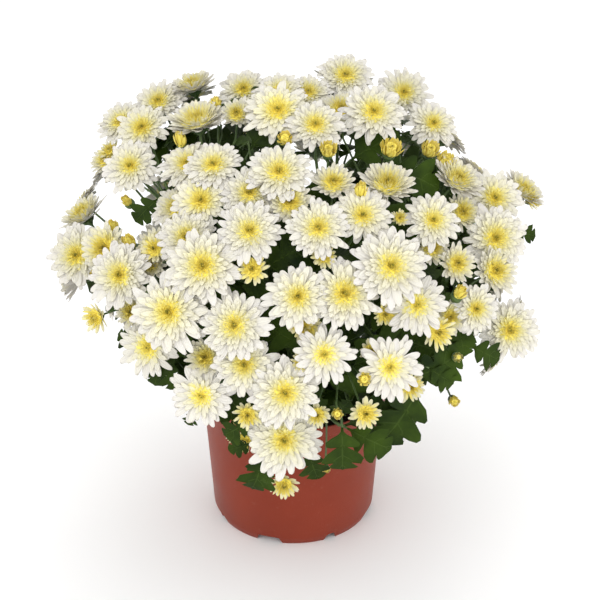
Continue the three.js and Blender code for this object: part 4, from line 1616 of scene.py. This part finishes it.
# %% Leaves seen between the blooms
# Each row: u, v, length in mm, bearing of the tip clockwise from up in degrees, mm out.
SEEN_LEAVES = [
    (429, 368, 24, 124, -8), (458, 326, 24, 168, -10), (250, 421, 24, 238, 0), (252, 443, 20, 250, 0),
    (270, 470, 13, 190, -14), (195, 411, 15, 205, -8), (158, 199, 25, 225, -8), (514, 231, 20, 100, -6),
    (285, 285, 60, 235, -30), (275, 352, 55, 40, -26), (402, 198, 34, 190, -20), (312, 178, 30, 170, -18),
    (350, 400, 55, 5, -24), (345, 425, 50, 60, -20), (141, 343, 20, 290, -10), (167, 362, 22, 165, -10),
    (262, 270, 45, 60, -26), (300, 345, 45, 300, -24), (430, 330, 50, 290, -20), (400, 345, 45, 250, -24),
    (320, 420, 45, 330, -20), (350, 160, 45, 60, -24), (250, 150, 40, 40, -20), (240, 148, 34, 200, -16),
    (460, 235, 36, 140, -20), (215, 380, 40, 140, -24), (410, 140, 40, 60, -20),
    (370, 410, 40, 105, -14), (393, 410, 32, 188, -16), (447, 343, 28, 60, -14), (305, 430, 30, 220, -14),
]
SHAPE_SHIFT = 3  # they begin with another leaf shape than the large leaves

seen_leaves = [make_blade(*row) for row in SEEN_LEAVES]
for index, leaf in enumerate(seen_leaves):
    place_leaf(f"small_leaf_{index + 1:02d}", leaf, index + SHAPE_SHIFT)
print("placed", len(seen_leaves), "smaller leaves")


# %% [markdown]
# ## The foliage inside
# Most leaves only show as dark green between the blooms. They grow along the stems, shoots and
# stalks, each a golden angle further round than the last, and stay under the dome, clear of the
# pot. Shoots that carry no flower end in a whorl of leaves, which fills the dome's gaps at the
# top and on the far side. The leaves near one shoot are joined to one piece.

# %% How a leaf stands on what carries it
RIM_ROOM = 6 * MM
LEAVING = 0.9, 0.45, 0.35  # how far a leaf points sideways, along its carrier and out of the plant
SKY_PULL = 0.8             # how far its face turns up
WATCHED = (0.5, 0), (1.0, 0), (0.5, -0.4), (0.5, 0.4)  # its points along and across, in lengths


def under_dome(point, room):
    """True if a point lies at least this far inside the dome of blooms."""
    width = CROWN_RADIUS - room
    height = (CROWN_RISE if point.z > CROWN_CENTRE else CROWN_DROP) - room
    flat, level = point.xy.length / width, (point.z - CROWN_CENTRE) / height
    return flat * flat + level * level < 1


def clear_of_pot(point):
    return point.z > POT_HEIGHT + RIM_ROOM or point.xy.length > RIM_RADIUS + RIM_ROOM


def grow_leaf(carrier, share, around, length, petiole, room):
    """A leaf and its stalk at a share of a curve, facing out of the plant, or None."""
    start, heading = carrier.point(share), carrier.heading(share)
    outward = Vector((start.x, start.y, 0)).normalized()
    sideways, forwards, outwards = LEAVING
    along = square_to(heading, around) * sideways + heading * forwards + outward * outwards
    along.normalize()
    base = start + along * petiole
    face = flattened((dome_normal(base) + SKY_PULL * UP).normalized(), along)
    side = along.cross(face)
    points = [base + along * length * far + side * length * off for far, off in WATCHED]
    if all(under_dome(p, room) and clear_of_pot(p) and not in_clearing(p) for p in points):
        return Blade(base, along, face, length), curve_between(start, along, base, along)
    return None


print("a leaf is watched at", len(WATCHED), "points")


# %% Leaves along stems, shoots and stalks
@dataclass
class Growth:
    """How one sort of carrier is clothed with leaves."""
    wanted: int
    first: float         # the share of the carrier's length where its leaves begin
    lengths: tuple
    petiole: float
    room: float          # how far under the dome they stay


ON_STEM = Growth(4, 0.50, (40 * MM, 58 * MM), 12 * MM, 16 * MM)
ON_SHOOT = Growth(6, 0.12, (36 * MM, 56 * MM), 10 * MM, 14 * MM)
ON_STALK = Growth(1, 0.25, (22 * MM, 34 * MM), 4 * MM, 7 * MM)
TRIES = 4  # for each wanted leaf
GROWTH_TO, GROWTH_START, GROWTH_SEED = 0.95, 0.3, 17

carriers = [(i, stem, ON_STEM) for i, stem in enumerate(stems)]
carriers += [(i, shoot, ON_SHOOT) for (i, _), shoot in shoots.items()]
carriers += [(i, stalk, ON_STALK) for i, stalk in stalks]
rng = random.Random(GROWTH_SEED)
foliage = {}
petioles = []
for cutting, carrier, growth in carriers:
    around, kept = rng.uniform(0, TURN), 0
    for attempt in range(TRIES * growth.wanted):
        share = blend(growth.first, GROWTH_TO, (attempt * GOLDEN_SHARE + GROWTH_START) % 1)
        around += GOLDEN_ANGLE
        length = blend(*growth.lengths, rng.random())
        found = grow_leaf(carrier, share, around, length, growth.petiole, growth.room)
        if found and kept < growth.wanted:
            sector = (cutting, shoot_of(found[0].base, cutting))
            foliage.setdefault(sector, []).append(found[0])
            petioles.append((cutting, found[1]))
            kept += 1
print("grown", len(petioles), "leaves")


# %% Whorls under the gaps
WHORL_DEPTH, WHORL_CLEAR, WHORL_SPACING = 24 * MM, 9 * MM, 30 * MM
WHORL_FRONT, WHORL_LEAVES, WHORL_LENGTHS = 10 * MM, 3, (38 * MM, 54 * MM)
WHORL_TILT, WHORL_SPREAD = 0.05, 0.2  # how far its leaves tip up, and their turns by chance
TOP_WHORL = Vector((-10, -12, 352)) * MM


def behind_near_side(place, diameter):
    """True if the near side's blooms lie round a place, as the eye sees it."""
    x, y, radius = seen_disc(place, diameter)
    return math.hypot(x, y) + radius < outline_reach(x, y) and not in_clearing(place)


on_dome = [spiral_point(index, 2 * FAR_COUNT, -WHORL_DEPTH) for index in range(2 * FAR_COUNT)]
whorls = []
for place in [TOP_WHORL] + [place for place in on_dome if place.y > WHORL_FRONT]:
    covered = any((head.point - place).length < head.diameter / 2 + WHORL_CLEAR for head in blooms)
    crowded = any((place - other).length < WHORL_SPACING for other in whorls)
    if covered or crowded or not behind_near_side(place, WHORL_LENGTHS[1]):
        continue
    whorls.append(place)
    upright, cutting = dome_normal(place), cutting_of(place)
    for turn in range(WHORL_LEAVES):
        angle = TURN * (turn / WHORL_LEAVES + rng.random() * WHORL_SPREAD)
        along = (square_to(upright, angle) + WHORL_TILT * upright).normalized()
        leaf = Blade(place, along, flattened(upright, along), blend(*WHORL_LENGTHS, rng.random()))
        if not in_clearing(place + along * leaf.length):
            foliage.setdefault((cutting, shoot_of(place, cutting)), []).append(leaf)
print(len(whorls), "whorls")


# %% The foliage, a piece for each shoot
for (cutting, part), leaves in sorted(foliage.items()):
    bm = bmesh.new()
    for leaf in leaves:
        take_in(bm, moved_copy(rng.choice(LEAF_MESHES), blade_matrix(leaf)))
    place_piece(f"foliage_{cutting + 1}_{part + 1}", to_mesh("foliage", bm, [LEAF]), "leaf")
print("foliage:", len(foliage), "pieces")


# %% [markdown]
# ## The stems' skins
# All the curves are known now, with those of the buds and small leaves. Those reach back to the
# nearest shoot of their own cutting. One piece holds each cutting's stem, shoots and stalks.

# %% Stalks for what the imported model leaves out
SHOOT_MARK = 0.85  # the share of a shoot that says how near it is
FORKS = 0.5, 0.65, 0.8, 0.95  # the shares of a shoot where thin stalks may leave it
BUD_DEPTH = 0.4    # how far below a bud's middle its stalk ends, in diameters


def nearest_shoot(point):
    cutting = cutting_of(point)
    mine = [shoot for (owner, _), shoot in shoots.items() if owner == cutting]
    return cutting, min(mine, key=lambda shoot: (shoot.point(SHOOT_MARK) - point).length)


def thin_stalk(end, arriving):
    cutting, shoot = nearest_shoot(end)
    share = min(FORKS, key=lambda fork: (shoot.point(fork) - end).length)
    return cutting, curve_between(shoot.point(share), shoot.heading(share), end, arriving)


thin_stalks = [thin_stalk(stalk_end(head, MM), head.facing) for head in small_heads + opening]
thin_stalks += [
    thin_stalk(head.point - head.facing * BUD_DEPTH * head.diameter, head.facing) for head in buds
]
thin_stalks += [thin_stalk(leaf.base, leaf.along) for leaf in seen_leaves]
thin_stalks += [thin_stalk(place, dome_normal(place)) for place in whorls]
print(len(thin_stalks), "thin stalks,", len(petioles), "leaf stalks")


# %% One piece per cutting
SKINS = [  # the curves with their cuttings, their radii, sides and steps
    (list(enumerate(stems)), STEM_RADII, 12, 8),
    ([(owner, shoot) for (owner, _), shoot in shoots.items()], SHOOT_RADII, 8, 8),
    (stalks, STALK_RADII, 5, 5), (thin_stalks + petioles, THIN_RADII, 5, 5),
]

for cutting in range(CUTTINGS):
    bm = bmesh.new()
    for curves, radii, sides, steps in SKINS:
        for owner, curve in curves:
            if owner == cutting:
                draw_skin(bm, curve, radii, sides, steps)
    mesh = to_mesh("stems", bm, [STEM])
    place_piece(f"stems_{cutting + 1}", mesh, "stem", f"cutting_{cutting + 1}")
    print("cutting", cutting + 1, len(mesh.polygons), "faces")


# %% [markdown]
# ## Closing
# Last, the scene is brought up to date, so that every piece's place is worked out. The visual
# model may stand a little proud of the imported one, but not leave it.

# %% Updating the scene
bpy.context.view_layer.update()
